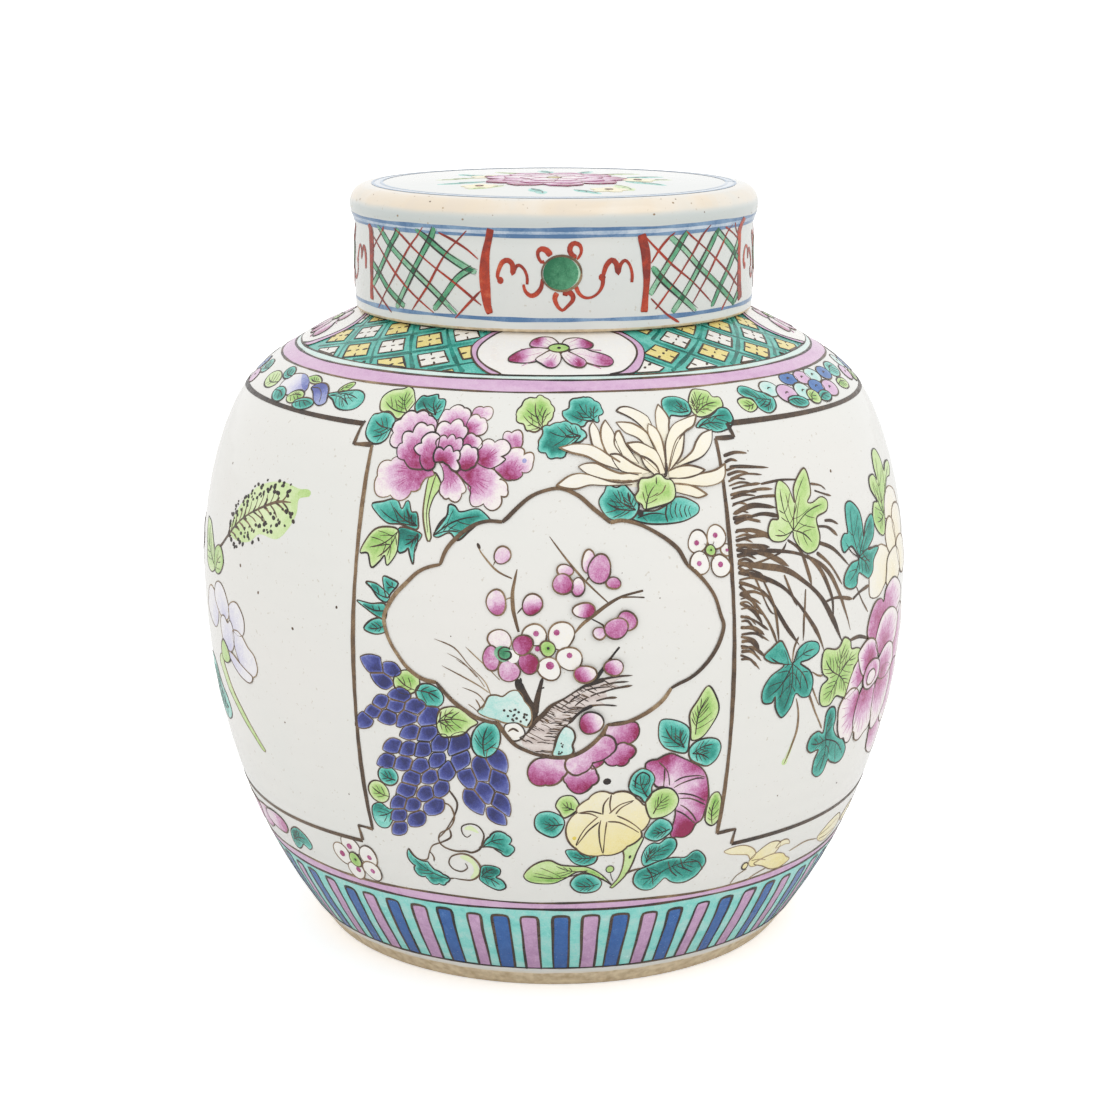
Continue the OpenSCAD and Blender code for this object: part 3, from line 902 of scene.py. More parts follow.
def chrysanthemum(name, at):
    m = Motif(name, jar_surface, "jar", at)
    leaf(m, "teal", [(20.5, 149.6), (24, 150.6), (28, 150.6), (31.5, 152), (33.6, 153.6), (36, 153.7),
            (38.5, 152.8), (40.8, 151.2), (40.6, 149.4), (38.5, 148.2), (35.5, 147.3), (31, 147),
            (26, 147.3), (22, 148.4)], (23, 149), [(31.5, 149.2)], 0, 1, deep=0.7)
    m.line([(31.6, 151.8), (30.9, 149.6), (31.4, 147.4)], 0.4, 2, 0.8, ends=(0.6, 0.3))
    for x in (33.0, 34.4, 35.8, 37.2, 38.4):
        m.line([(x, 152.6 - 0.25 * (x - 33)), (x - 0.7, 150.2), (x - 0.2, 148.4)], 0.26, 2, 0.9,
                ends=(0.3, 0.7))
    leaf(m, "teal", [(12.5, 154), (14, 156), (15, 157.8), (17.5, 157), (19.5, 157.8), (21, 156.5),
            (22.5, 154.5), (23.5, 152.5), (23, 150.5), (21, 148.7), (17, 148.5), (14.5, 149.5),
            (12.7, 152)], (22.5, 151), [(14, 153.5), (16, 156.5), (20.5, 156)], 3, 3)
    m.dot("outline", (23.8, 150.2), 0.9, 5, 0.95)
    leaf(m, "teal", [(35.5, 179), (36.5, 181.5), (39, 182.3), (42, 182), (44.5, 180.5), (45.3, 178),
            (44, 176), (41, 175.5), (37.5, 176), (36.5, 175)], (44, 177), [(37, 178), (41, 181)], 0, 2)
    leaf(m, "lime", [(45.3, 180), (47.5, 183), (49.5, 184.3), (52, 184), (54.5, 183), (55, 181),
            (57.5, 180.5), (57, 177.5), (54, 176.5), (50, 175), (46.5, 175), (45, 177)], (46.5, 176),
            [(47.5, 182), (52.5, 183), (56, 179)], 0, 3)
    leaf(m, "teal", [(44.5, 172), (47, 174), (50, 174.5), (53, 175.8), (55, 177), (58, 176.5),
            (58.5, 173.5), (57, 171.5), (55, 170.5), (51, 170), (47, 171.5)], (45.5, 172),
            [(57, 174.5), (55, 171.8)], 2, 3)
    petals = [
        ([(31, 166), (30.1, 174.3), (28.8, 176.8), (24.5, 179.3), (21.5, 179.4)], (19.9, 178.2),
                [(24, 175.9), (26.8, 173.3), (28.5, 170.5), (30, 165)]),
        ([(31, 164), (28.8, 170.5), (25, 173.8), (22, 174.6)], (19.2, 174.7), [(21.5, 171.7), (25.8, 169.3),
                (30, 163)]),
        ([(33, 164), (32, 169), (31.7, 173), (32.5, 177)], (34.3, 179.8), [(35.8, 177), (36.3, 174.8),
                (35.5, 172.5), (34.5, 167)]),
        ([(36, 162.3), (41, 165.2), (43.3, 168), (45.9, 170)], (49.5, 170.8), [(48.3, 167.5), (46, 165),
                (43, 163.3), (37, 161.8)]),
        ([(14.5, 166.5), (11.7, 167.8), (10.9, 170.3), (10.8, 173.3)], (12, 175), [(13.4, 172.5),
                (13.9, 170), (15, 166)]),
        ([(17, 163.5), (15, 166.8), (14, 170), (14.4, 173.3)], (15.9, 175.4), [(17.8, 172), (18.3, 169.5),
                (20, 165)]),
        ([(20.5, 164.3), (18, 167.8), (18, 170), (18.8, 171.8)], (19.8, 172.1), [(20.7, 170), (21.4, 168),
                (24.5, 163)]),
        ([(34.5, 157.4), (38, 156.8), (41, 155.6)], (43.8, 153.7), [(41, 153.1), (38.5, 153.8),
                (34.5, 155)]),
        ([(33, 158.6), (38, 158.6), (43, 159.3), (47.5, 159.9)], (51, 161.3), [(50.3, 158.3), (48.5, 156.6),
                (44.5, 155.9), (40.5, 156.3), (33.5, 157.4)]),
        ([(33, 160.5), (36, 161.5), (39.3, 161.7), (42, 161.1)], (44.2, 160.2), [(41.8, 159.1), (38, 158.4),
                (33, 158.8)]),
        ([(22, 158.6), (15, 159.1), (9.5, 160.5), (6.5, 160.8), (3.8, 160)], (0.7, 157.8), [(3, 157.1),
                (6.3, 156.9), (10, 157.8), (14.5, 157.6), (22, 157.6)]),
        ([(25, 160.4), (21.5, 160.6), (18.8, 160.6), (15.5, 161.8), (12, 163.4), (8.8, 163.4)],
                (6.9, 162.6), [(9.3, 160.8), (13, 159.5), (16.5, 158.5), (20.5, 158.2), (25, 158.9)]),
        ([(27.5, 160.6), (23, 162.9), (19, 165.5)], (16.3, 165.7), [(17.3, 163.3), (19.3, 161.2),
                (24, 160)]),
        ([(19, 163.5), (16, 165.4), (13, 167.3), (10, 168.4), (5.5, 168.5)], (1.5, 167.6), [(5, 166.3),
                (9.3, 165.3), (13.5, 163.3), (18.5, 161.6)]),
        ([(31.5, 160.5), (29.8, 167), (28.5, 171)], (29.1, 173.7), [(31.3, 172), (32.4, 168.3),
                (32.4, 161)]),
        ([(32.2, 160.5), (32.5, 163.5), (33.5, 168.5), (36.8, 172.8), (41.8, 174.6)], (45.7, 175.4),
                [(43.5, 172.3), (39.8, 170.5), (36, 166.5), (33, 160.5)]),
        ([(32.8, 160.5), (34.8, 165.5), (37, 168.8)], (39.9, 170.6), [(38.3, 166), (36.5, 163.5),
                (33.4, 160.8)]),
        ([(32, 160), (30.3, 165.5), (28, 167.3), (25, 168.6)], (21.3, 168.4), [(23, 166.4), (25.3, 164.8),
                (30.2, 160)]),
        ([(30.2, 159.8), (29.5, 162), (27.3, 164)], (25.1, 165), [(25.8, 162.8), (27, 161.3), (28.5, 160)]),
    ]
    heart = np.array((31.0, 159.5))
    m.fill("cream", smooth([(20, 157.5), (20, 163), (26, 167), (33, 168), (38, 164), (39, 159), (34, 155.5),
            (30, 157)], True), 1, 0.5)
    level = 2.0
    for k, (first, tip, second) in enumerate(petals):
        level += 0.9
        edge = pointed(first, tip, second)
        m.fill("cream", edge, level, glow(heart, 26, 0.62, 0.2), grain=1.4)
        m.line(edge, 0.42, level + 1.6, 0.42 + 0.2 * (k % 3 == 0), ends=(0.7, 0.6), raw=True, press=0.4)
    m.line([(32.4, 163), (32.3, 161), (31.7, 159)], 0.7, level + 2, 0.75)
    leaf(m, "lime", [(25, 151), (24.2, 152.3), (22.8, 153.2), (22.4, 154.5), (23.5, 156), (23.6, 157.6),
            (24.5, 159), (26.5, 159.1), (28, 159.4), (29.3, 160), (30.6, 159.7), (31.6, 158.6),
            (33.3, 158.2), (34.1, 156.6), (34, 154), (32.5, 152.5), (29, 151.6)], (25.3, 151),
            [(28.8, 157.5)], level + 2, 2, deep=0.8, pale=0.1)
    m.line([(31.5, 157), (30.3, 155.2), (28.3, 154.3)], 0.28, level + 4, 0.6)
    m.line([(29, 159.3), (28.8, 157.3)], 0.3, level + 4, 0.8)
    m.build()


def plum_blossom(m, centre, green, petals, dots, level=0):
    """A small round-petalled blossom: white petals (x, y, radius), rose dots on them, and a green middle."""
    for k, (x, y, radius) in enumerate(petals):
        m.shape("cream", uneven(m, (x, y), radius), level + 2 * k, 0.05, 0.4, 0.45, raw=True, grain=1.2)
    top = level + 2 * len(petals)
    for x, y, radius in dots:
        m.dot("rose", (x, y), radius, top, 0.8)
    m.shape("lime", uneven(m, centre, green), top, glow(centre, green, 0.95, 0.45), 0.4, 0.7, raw=True,
            grain=0.6)
    m.dot("outline", np.array(centre) + (0.15, 0.1), green * 0.2, top + 2, 0.9)


def loose_blossom(name, at):
    m = Motif(name, jar_surface, "jar", at)
    plum_blossom(m, (0.2, 0), 1.5, [(5.0, -0.3, 1.6), (-3.3, 2.6, 2.9), (2.3, 3.3, 3.0), (-3.2, -3.0, 2.9),
            (2.9, -4.3, 2.9)], [(-3.7, 2.3, 0.7), (2.0, 3.8, 0.7), (-3.4, -3.1, 0.7), (2.8, -3.9, 0.8),
            (5.2, -0.4, 0.4)])
    for a in (60, 130, 200, 290, 350):
        c, s = math.cos(math.radians(a)), math.sin(math.radians(a))
        m.line([(0.2 + 1.6 * c, 1.6 * s), (0.2 + 2.5 * c, 2.5 * s)], 0.25, 11, 0.5)
    m.build()


def medallion(name, at):
    """The lobed white reserve in the middle of a field, with a plum tree growing from rocks."""
    m = Motif(name + "_frame", jar_surface, "jar", at)
    lobes = [
        [(15.3, 148), (18, 148.5), (21, 148), (25, 146.5), (30, 143.5), (33.5, 140.5), (35, 138),
                (36, 136)],
        [(36, 136), (38, 134.3), (41, 131), (43.5, 127), (45, 122), (45.8, 119), (44.5, 115), (42, 111),
                (39, 108), (36, 106), (33, 104.8), (31, 103.8)],
        [(31, 103.8), (29, 101), (26, 98.5), (22, 96.3), (18, 95), (14, 94.8)],
        [(14, 94.8), (12.5, 92), (9, 88.5), (5, 86.3), (1, 85.7), (-4, 86.5), (-8, 88), (-10.5, 89.5),
                (-13, 92.5), (-14.8, 95.5)],
        [(-14.8, 95.5), (-16, 95.3), (-20, 96.3), (-23, 98), (-26.5, 100.5), (-29, 103), (-31, 105.3)],
        [(-31, 105.3), (-35, 106), (-39, 108.5), (-42, 112), (-44.5, 116), (-45.8, 120), (-45.5, 123),
                (-43, 127.5), (-40, 130.8), (-37, 133.8), (-34, 135.5), (-30.5, 136.5)],
        [(-30.5, 136.5), (-29, 140.5), (-26, 144), (-22, 147), (-18, 148.3), (-14, 148.2)],
        [(-14, 148.2), (-12.5, 149.5), (-10, 152), (-7, 154.5), (-4, 156), (0, 157), (3, 156.8), (7, 155),
                (10.5, 152), (13, 150), (15.3, 148)],
    ]
    for k, lobe in enumerate(lobes):
        m.line(lobe, 1.05, 7, 0.5 + 0.12 * math.sin(k * 2.1), ends=(0.75, 0.75), press=0.12)
    m.build()

    m = Motif(name + "_plum_tree", jar_surface, "jar", at)
    m.dot("outline", (-20.2, 141.8), 0.45, 1, 0.85, oval=2.0, lean=-1.1)
    for points, width, ink in (
        ([(-20.2, 141.8), (-19.5, 140.2), (-16, 136.4), (-13.5, 134.8), (-11, 133.8)], 0.42, 0.35),
        ([(-16.1, 137), (-15.4, 138.4)], 0.4, 0.4),
        ([(-9.7, 136.2), (-10.3, 133.3), (-10.8, 130), (-10.6, 126), (-10, 123.3), (-9.1, 120)], 0.85, 0.5),
        ([(-9.5, 124.8), (-8.5, 126), (-7.7, 126.7)], 0.5, 0.7), ([(-12.7, 128.3), (-11.2, 128.9)], 0.35,
                0.3),
        ([(-1.2, 144.7), (4, 138), (8.7, 132.7), (14, 127.6)], 0.48, 0.5), ([(8.3, 133), (9.7, 135)], 0.4,
                0.5),
        ([(9.7, 123.4), (12.3, 122), (13.3, 121)], 0.5, 0.85),
        ([(5, 119.3), (7.3, 122), (10.3, 124.3), (14, 127), (18, 129), (23.5, 130.2)], 0.8, 0.5),
        ([(17.5, 128.7), (20.5, 128.7), (23.8, 128.4)], 0.45, 0.6), ([(14, 112), (15.5, 114), (17, 115.8)],
                0.7, 0.9),
        ([(-9.6, 107.4), (-8.6, 105), (-6.8, 102), (-5.2, 99.5), (-5.1, 96.5), (-6.3, 94)], 1.9, 1.0),
        ([(-8.6, 107.8), (-8.4, 105.5), (-7.3, 103)], 0.9, 0.95),
        ([(-2.9, 108), (-3.7, 104.8), (-4.5, 101), (-4.7, 98)], 1.25, 0.9), ([(-3.6, 104.9), (-2.5, 105.3)],
                0.7, 1.0),
    ):
        m.line(points, width, 1, ink, ends=(0.35, 0.75))
    level = 2.0
    for (x, y), rx, ry, shade, ink in (
        ((-13.7, 139.7), 2.2, 2.3, fade((-15, 141), (-13, 138), 0.12, 0.4), 0.4),
        ((-15, 127.5), 2.7, 3.2, fade((-16, 129), (-14, 125), 0.1, 0.75), 0.3),
        ((-5.6, 127.2), 2.6, 2.8, fade((-6, 128.6), (-5, 125.3), 0.05, 1.0), 0.5),
        ((9.2, 138.2), 1.9, 2.9, fade((8, 139), (10.5, 137), 0.0, 0.7), 0.5),
        ((15.6, 132.5), 1.9, 1.6, fade((14.5, 134), (16, 131), 0.3, 0.85), 0.5),
        ((12, 136.2), 3.1, 3.7, fade((11, 139), (13, 133), 0.45, 0.62), 0.6),
        ((2.9, 136), 2.1, 1.6, fade((2, 137), (4, 134.5), 0.1, 0.6), 0.5),
        ((6.3, 131.7), 1.8, 2.3, fade((6.5, 133.5), (5.5, 130), 0.05, 0.7), 0.6),
        ((2.3, 132.5), 2.8, 2.5, fade((1.5, 134), (3.5, 130.5), 0.45, 0.85), 0.5),
        ((7.8, 125.7), 2.8, 2.1, fade((6, 126), (9.3, 125), 0.0, 0.95), 0.45),
        ((18.9, 122.6), 2.5, 2.7, fade((17, 121), (20, 124), 0.3, 0.7), 0.5),
        ((11.7, 119.7), 1.6, 1.7, fade((10.5, 119), (13, 120), 0.1, 0.4), 0.35),
        ((16.1, 120.8), 3.0, 2.8, fade((16, 123), (16, 118.5), 0.5, 0.7), 0.5),
        ((8, 109), 2.8, 2.4, fade((9.5, 110.3), (6.5, 108), 0.05, 0.95), 0.45),
        ((15.4, 110.6), 2.4, 2.3, fade((16.5, 111.5), (14, 109.5), 0.2, 0.8), 0.5),
        ((9.7, 95.7), 3.0, 3.2, fade((11.5, 97), (8, 95), 0.0, 0.95), 0.75),
    ):
        level += 1.5
        m.shape("rose", uneven(m, (x, y), ry, rx / ry), level, shade, 0.42, ink, raw=True, grain=0.6)
    # the purple blossom
    for k, (x, y, rx, ry, base, ink) in enumerate((
            (-14, 117.8, 3.1, 2.7, 0.05, 0.35), (-16.2, 112.8, 2.3, 3.2, 0.45, 0.6), (-11.6, 109.6, 3.0,
                    2.7, 0.35, 0.55),
            (-6.5, 111.8, 2.7, 2.8, 0.6, 0.5), (-8, 116.7, 2.7, 2.6, 0.62, 0.5))):
        m.shape("rose", uneven(m, (x, y), ry, rx / ry), 3 + 2 * k, glow((-12.4, 114), 7.4, base * 0.45,
                base * 1.6), 0.4, ink, raw=True, grain=0.6)
    m.fill("cream", uneven(m, (-10.6, 113.6), 1.7), 12, 0.0)
    m.shape("green", uneven(m, (-13.2, 114.2), 2.1), 13, glow((-13, 114.4), 2.1, 0.95, 0.3), 0.0, raw=True,
            grain=0.5)
    m.line([(-11.2, 115.6), (-12.8, 116), (-14.2, 115), (-14, 113.3), (-12.4, 112.7), (-11, 113.6),
            (-11.3, 114.8), (-12.7, 114.9)], 0.5, 14, 0.95)
    # the white blossom
    plum_blossom(m, (-1.6, 115.8), 2.0, [(-5, 119.3, 3.0), (1.9, 119.2, 3.5), (4, 113.1, 3.2),
            (-1.2, 110.4, 3.0)], [(0.7, 120, 0.8), (4, 114, 0.75), (-1, 111.3, 1.1), (-4.2, 115.7, 0.7),
            (-4.6, 119.7, 0.75)], 4)
    m.build()

    m = Motif(name + "_rocks", jar_surface, "jar", at)
    m.shape("turquoise", [(-20, 98), (-18.3, 100), (-17, 102.5), (-15, 102.9), (-13.3, 102.6), (-11.5, 104),
            (-9.7, 104.4), (-8.3, 103.4), (-7.7, 101.7), (-6, 99.3), (-5.8, 96), (-7, 94.3), (-9.5, 95.3),
            (-12.5, 95.2), (-15, 96), (-17.5, 96.6)], 0, fade((-16, 98), (-7, 101), 0.22, 0.0), 0.4, 0.4)
    m.shape("cream", [(-13, 93), (-12.7, 94.8), (-11, 95.4), (-9.5, 95.3), (-8, 94), (-7.6, 92),
            (-9.3, 90.5), (-11.5, 90.5)], 2, 0.1, 0.42, 0.75)
    m.line([(-12, 92.9), (-10.7, 93.8), (-9.2, 93)], 0.5, 4, 0.55)
    speck = random.Random("rock")
    for k in range(20):
        x, y = speck.uniform(-13, -6.5), speck.uniform(95.7, 99.2)
        m.dot("outline", (x, y), speck.uniform(0.22, 0.42), 3, 0.95)
    # the fallen trunk: a pale wash with fine strokes that run in from its two edges
    upper = smooth([(-9, 91.3), (-7, 92.7), (-4.7, 96), (-2.7, 98), (-0.7, 100.3), (2.7, 102.3),
            (7.3, 105.3), (10, 106.3), (13, 107.3)], step=0.5)
    lower_edge = smooth([(11, 100.2), (7.7, 99), (6, 97.7), (3.3, 95), (1.3, 92.7), (0.3, 90),
            (-0.3, 86.3)], step=0.5)
    ragged = np.array([(18, 107.8), (15, 106.2), (17, 105.2), (13.5, 103.8), (14, 102), (11.5, 101.6),
            (14, 100)])
    below = smooth([(-0.3, 86.3), (-4, 87), (-8, 88.8)], step=0.5)
    m.fill("wash", np.vstack([upper, ragged, lower_edge, below[1:]]), 1,
            lambda p: 0.3 + 0.25 * np.sin(p[:, 1] * 2.1), grain=0.9)
    for edge, inward, count in ((upper, (1.0, -0.55), 60), (lower_edge, (-1.0, 0.1), 46)):
        for k in range(count):
            x, y = edge[int(speck.uniform(0, len(edge) - 1))]
            long, lean = speck.uniform(0.8, 3.4), speck.uniform(-0.25, 0.25)
            if k % 3 == 0:
                x, y = x + inward[0] * 1.4, y + inward[1] * 1.4
            m.line([(x, y), (x + inward[0] * long * 0.5, y + (inward[1] + lean) * long * 0.5),
                    (x + inward[0] * long, y + inward[1] * long)], speck.uniform(0.16, 0.34), 3,
                    speck.uniform(0.55, 0.9), ends=(0.8, 0.1))
    m.line(upper, 0.85, 4, 0.85, ends=(0.5, 0.8), raw=True, press=0.5)
    m.line([(3.8, 95.3), (6, 97.7), (7.7, 99.1), (10, 100.2)], 0.95, 4, 0.9, ends=(0.2, 0.6))
    m.line([(0, 87), (0.3, 90), (1.3, 92.7), (3.8, 95.3)], 0.45, 4, 0.8)
    m.line([(10, 106.3), (11, 107.7), (12.6, 110), (14, 112)], 0.85, 4, 0.9)
    for start, end, width in (((12.3, 107.3), (20.5, 108), 0.5), ((12, 105.6), (19.5, 106.4), 0.4),
            ((11.8, 103.6), (20.5, 105.3), 0.6), ((11, 101.5), (16.5, 102.2), 0.6),
            ((9, 100.2), (16.5, 99.9), 0.55), ((8, 104.5), (15, 105.2), 0.35),
            ((4, 101.3), (7, 103.4), 0.35), ((5.5, 100.3), (9, 102.6), 0.35),
            ((2, 99.8), (5.5, 101.8), 0.3), ((9.5, 102.8), (13.5, 103.8), 0.5)):
        stroke(m, [start, (np.array(start) + end) / 2 + (0, 0.3), end], width, 3, 0.75)
    m.shape("turquoise", [(-0.2, 86.4), (0.3, 89), (1.2, 92), (2.5, 94.3), (3.5, 94.6), (5, 93.6),
            (5.6, 91.5), (4.9, 89.3), (5.2, 87.6), (4, 86.4)], 6, fade((1, 88), (6, 92), 0.25, 0.0), 0.5,
            0.6)
    for k in range(9):
        m.dot("outline", (speck.uniform(0.8, 2.8), speck.uniform(86.8, 90)), speck.uniform(0.15, 0.3), 8,
                0.95)
    for points, width in (
        ([(-31.5, 117), (-26, 115), (-22, 110.5), (-18, 106.5), (-16.5, 103)], 0.3),
        ([(-29.5, 110), (-25, 108), (-20, 105.5), (-17, 103.5)], 0.3),
        ([(-24, 104.5), (-20, 103), (-18, 100.5), (-19, 98.5)], 0.25),
        ([(-23, 115.5), (-17, 110), (-14, 107)], 0.25), ([(-25.5, 112), (-21, 109), (-18, 105)], 0.22),
        ([(-20.5, 101.5), (-19.5, 99.8), (-19.3, 98.5)], 0.3), ([(-22.5, 100), (-21, 99), (-20, 98)], 0.25),
        ([(-28, 113.5), (-24, 111.5), (-20, 107.5)], 0.2),
    ):
        m.line(points[::-1], width, 1, 0.3, ends=(0.7, 0.1))
    m.build()


def grapes(name, at):
    """A cluster of pointed indigo scales with its leaves and tendrils."""
    m = Motif(name, jar_surface, "jar", at)
    leaf(m, "teal", [(-46.8, 132), (-44, 131.5), (-42.2, 130.5), (-44, 128), (-45.3, 126.5), (-46.3, 129)],
            (-43.2, 129.3), [(-46, 131)], 0, 1)
    leaf(m, "teal", [(-52, 130), (-49, 130), (-46.5, 128.7), (-44.5, 127), (-45.5, 125.3), (-48, 126.3),
            (-50, 128.5)], (-45, 126.5), [(-51, 129.5)], 0, 2)
    leaf(m, "teal", [(-54.5, 124.8), (-50, 124.5), (-45.8, 124.8), (-45.5, 121), (-48, 121.3),
            (-51.5, 123)], (-45.8, 123), [(-53, 124.3)], 0, 2)
    leaf(m, "teal", [(-52, 117.5), (-50, 120), (-47, 121), (-45.5, 119.5), (-45.5, 117.5), (-48.5, 116.5)],
            (-45.8, 119), [(-51, 118)], 0, 2)
    leaf(m, "lime", [(-31, 96), (-30, 98), (-27, 99), (-24.5, 98.5), (-22, 96.5), (-20, 95), (-22, 93.5),
            (-24, 91.5), (-27, 90.5), (-30, 90.3), (-31.3, 93)], (-30.8, 94.5), [(-26, 97.5), (-22, 94.8),
            (-27, 91.5)], 3, 2)
    leaf(m, "teal", oval((-18, 90.3), 3.8, 5.3, -18), (-18.5, 85.6), [(-17, 94.8)], 3, 3)
    leaf(m, "teal", oval((-33, 101.5), 4, 3.1, -20), (-36.5, 102.5), [(-29.8, 100.5)], 1, 2)
    leaf(m, "lime", oval((-39.5, 104.5), 3.9, 3.3, 20), (-37, 102.5), [(-42.5, 106)], 1, 2)
    leaf(m, "teal", [(-54.5, 62), (-54, 66), (-51, 67.5), (-48, 66), (-46, 69.5), (-44.5, 73), (-44.8, 68),
            (-47.5, 63), (-50, 59.7), (-53, 59.5)], (-46, 67), [(-53, 63)], 0, 3)
    leaf(m, "lime", oval((-51, 71), 3.4, 3.4, 0), (-48, 70), [(-53.3, 72.5)], 0, 2)
    leaf(m, "teal", oval((-47.2, 76.5), 3.2, 2.9, 15), (-45, 75.5), [(-49.8, 77.5)], 1, 2)
    scales = [
        ((-48.7, 108), 160, 1.25), ((-44, 107.6), 170, 0.9), ((-46.6, 104.2), 160, 1.0),
        ((-41.7, 100.5), 190, 1.0), ((-47.5, 98), 215, 0.85), ((-43, 97.6), 205, 0.9),
                ((-37.6, 97.8), 200, 1.05),
        ((-50, 95), 205, 0.85), ((-45.6, 94), 190, 1.0), ((-39.7, 94.6), 220, 1.15),
                ((-33.6, 95.3), 225, 1.2),
        ((-52.9, 92), 215, 1.0), ((-39, 90.5), 205, 0.95), ((-34.2, 90.6), 215, 1.0),
                ((-30.8, 88), 235, 1.0),
        ((-25.6, 88.2), 235, 1.3), ((-44.6, 85.8), 205, 0.95), ((-40, 85.6), 210, 0.9),
                ((-35.7, 86), 215, 0.95),
        ((-31.8, 83.3), 225, 0.9), ((-25.2, 83.8), 240, 1.1), ((-47, 81), 205, 0.95),
                ((-42, 81), 205, 0.95),
        ((-36.8, 81), 210, 0.95), ((-29.5, 80), 240, 1.1), ((-39.7, 76.9), 215, 1.05),
                ((-34.2, 78), 215, 0.9),
        ((-31.3, 74.8), 235, 0.95), ((-41.7, 73), 215, 1.15), ((-36.2, 72.6), 220, 0.95),
                ((-44.8, 68.6), 215, 0.95),
        ((-40.5, 68.6), 215, 0.9), ((-34, 69), 220, 1.15), ((-45.4, 64.6), 215, 0.9),
                ((-39.8, 64.2), 220, 1.05),
        ((-46, 60.2), 220, 0.95), ((-15, 84.6), 300, 1.15), ((-19.5, 81.2), 280, 1.3),
                ((-23.6, 79), 290, 1.1),
        ((-15, 78.4), 300, 1.25), ((-18.8, 74.7), 300, 1.15), ((-22, 71.9), 300, 1.25),
                ((-14.6, 71.5), 300, 1.15),
        ((-16, 67.7), 315, 1.0),
    ]
    places = np.array([at for at, _, _ in scales])
    blade = lobed([(3.9, 0, 0.1), (0.6, 2.15, 0.14), (-2.4, 1.5, 0.1), (-3.5, 0, 0.1), (-2.4, -1.5, 0.14),
            (0.6, -2.15, 0.1)], 0.35)
    long_by = (1.45, 1.0)  # lengths along a scale count for less when it meets its neighbours
    reach_out, seam = 9, 0.1
    inked_darker = (13, 14, 15, 18, 19, 20, 24)
    for k, ((x, y), turn, grow) in enumerate(scales):
        turned = rotation(math.radians(turn))
        edge = blade * grow
        # each scale gives way to its neighbours half-way
        for other in places[np.linalg.norm(places - (x, y), axis=1) < reach_out]:
            way = (other - (x, y)) @ turned.T / long_by
            gap = np.linalg.norm(way)
            if gap > seam:
                flat = edge / long_by
                beyond = np.clip(flat @ way / gap - (gap / 2 - seam), 0, None)
                edge = (flat - beyond[:, None] * way / gap) * long_by
        edge = edge @ turned + (x, y)

        def tone(p, edge=edge, tip=turned[0], mid=(x, y), deep=m.random.uniform(0.8, 1.0)):
            rim = np.clip(from_edge(p, edge) / 0.7, 0, 1)
            return rim * (deep - 0.5 * np.clip((p - mid) @ tip / 3.2 + 0.1, 0, 1)) + 0.06

        m.fill("indigo", edge, 2, tone, grain=0.5)
        m.loop(edge, 0.28, 4, 0.95 if k in inked_darker else 0.55, raw=True)
    m.build()

    m = Motif(name + "_tendrils", jar_surface, "jar", at)
    for points, width in (
        ([(-29, 74.5), (-27, 71), (-28, 67), (-31, 62), (-33.5, 59)], 0.35),
        ([(-31, 70.5), (-29, 69.5), (-28.2, 66), (-30, 62.5), (-33, 60.5), (-33.8, 58), (-32.5, 56),
                (-29, 55), (-26, 55.3), (-24, 55), (-21.5, 56.5), (-20.5, 59), (-20, 61.5), (-21.5, 64),
                (-24, 64.5), (-26.3, 63.3), (-26.2, 61), (-25, 60), (-23.8, 61)], 0.38),
        ([(-30, 62), (-30, 59.5), (-33, 57.5), (-36, 56), (-37.5, 53.5), (-38.5, 51), (-40.5, 50.3),
                (-42.5, 51), (-44, 53.5)], 0.35),
        ([(-30.8, 45.2), (-28, 45), (-25, 45.3), (-22.5, 47.5), (-22, 50.5), (-24, 53.3), (-27, 54.3),
                (-30.5, 53), (-31.7, 50.5), (-30.5, 48.5), (-28, 48), (-26, 49.5), (-26.5, 51)], 0.4),
        ([(-30.8, 45.2), (-32.3, 44.9)], 0.4), ([(-22.2, 47.5), (-21.4, 47)], 0.35),
        ([(-20.8, 57.6), (-21.8, 57)], 0.35), ([(-37.5, 54), (-36.3, 52), (-36.5, 50.5)], 0.3),
    ):
        m.line(points, width * 1.4, 2, 0.62, ends=(0.6, 0.4))
    m.fill("lime", smooth([(-28, 53), (-26, 53.8), (-24, 52.6), (-22.6, 50), (-22.7, 47.7), (-24.5, 45.8),
            (-25.6, 46), (-24.2, 48.3), (-24.6, 51)], True), 0, -0.15)
    m.fill("lime", smooth([(-25.7, 62.6), (-24, 63.9), (-22.3, 63), (-21.5, 61.6), (-23.6, 62.3)], True), 0,
            -0.3)
    leaf(m, "teal", lobed([(-44.2, 53.7, -0.12), (-42.3, 50.8, -0.1), (-38.6, 50.1, -0.05),
            (-36.8, 47.4, 0.1), (-34.3, 46.1, 0.1), (-32.2, 44.8, 0.1), (-33.7, 43.2, 0.3),
            (-36.2, 42.6, 0.3), (-39.8, 43.6, 0.2), (-40.4, 44.6, 0.25), (-43.6, 45.6, 0.2),
            (-43.2, 47.9, 0.25)]), (-32.8, 44.8), [(-43.5, 51)], 2, 3, raw=True)
    leaf(m, "teal", lobed([(-20.2, 58.2, 0.1), (-18.3, 60.8, 0.3), (-13.2, 61.6, 0.35), (-12.9, 58.7, 0.4),
            (-12.2, 55.6, 0.35), (-15.3, 55.7, 0.05), (-17.3, 57.2, -0.1), (-21, 57)]), (-20.4, 57.5),
            [(-13.8, 60.3), (-14, 55.6)], 2, 2, raw=True)
    leaf(m, "teal", [(-22.5, 47), (-21.5, 50.5), (-18.5, 51), (-16, 50), (-16.3, 48), (-17.5, 47),
            (-15.5, 45.8), (-14.7, 43.5), (-17, 42.3), (-20, 43.5), (-22.5, 45.5)], (-22, 46.8),
            [(-17.5, 50), (-16, 43.8)], 2, 2)
    m.build()


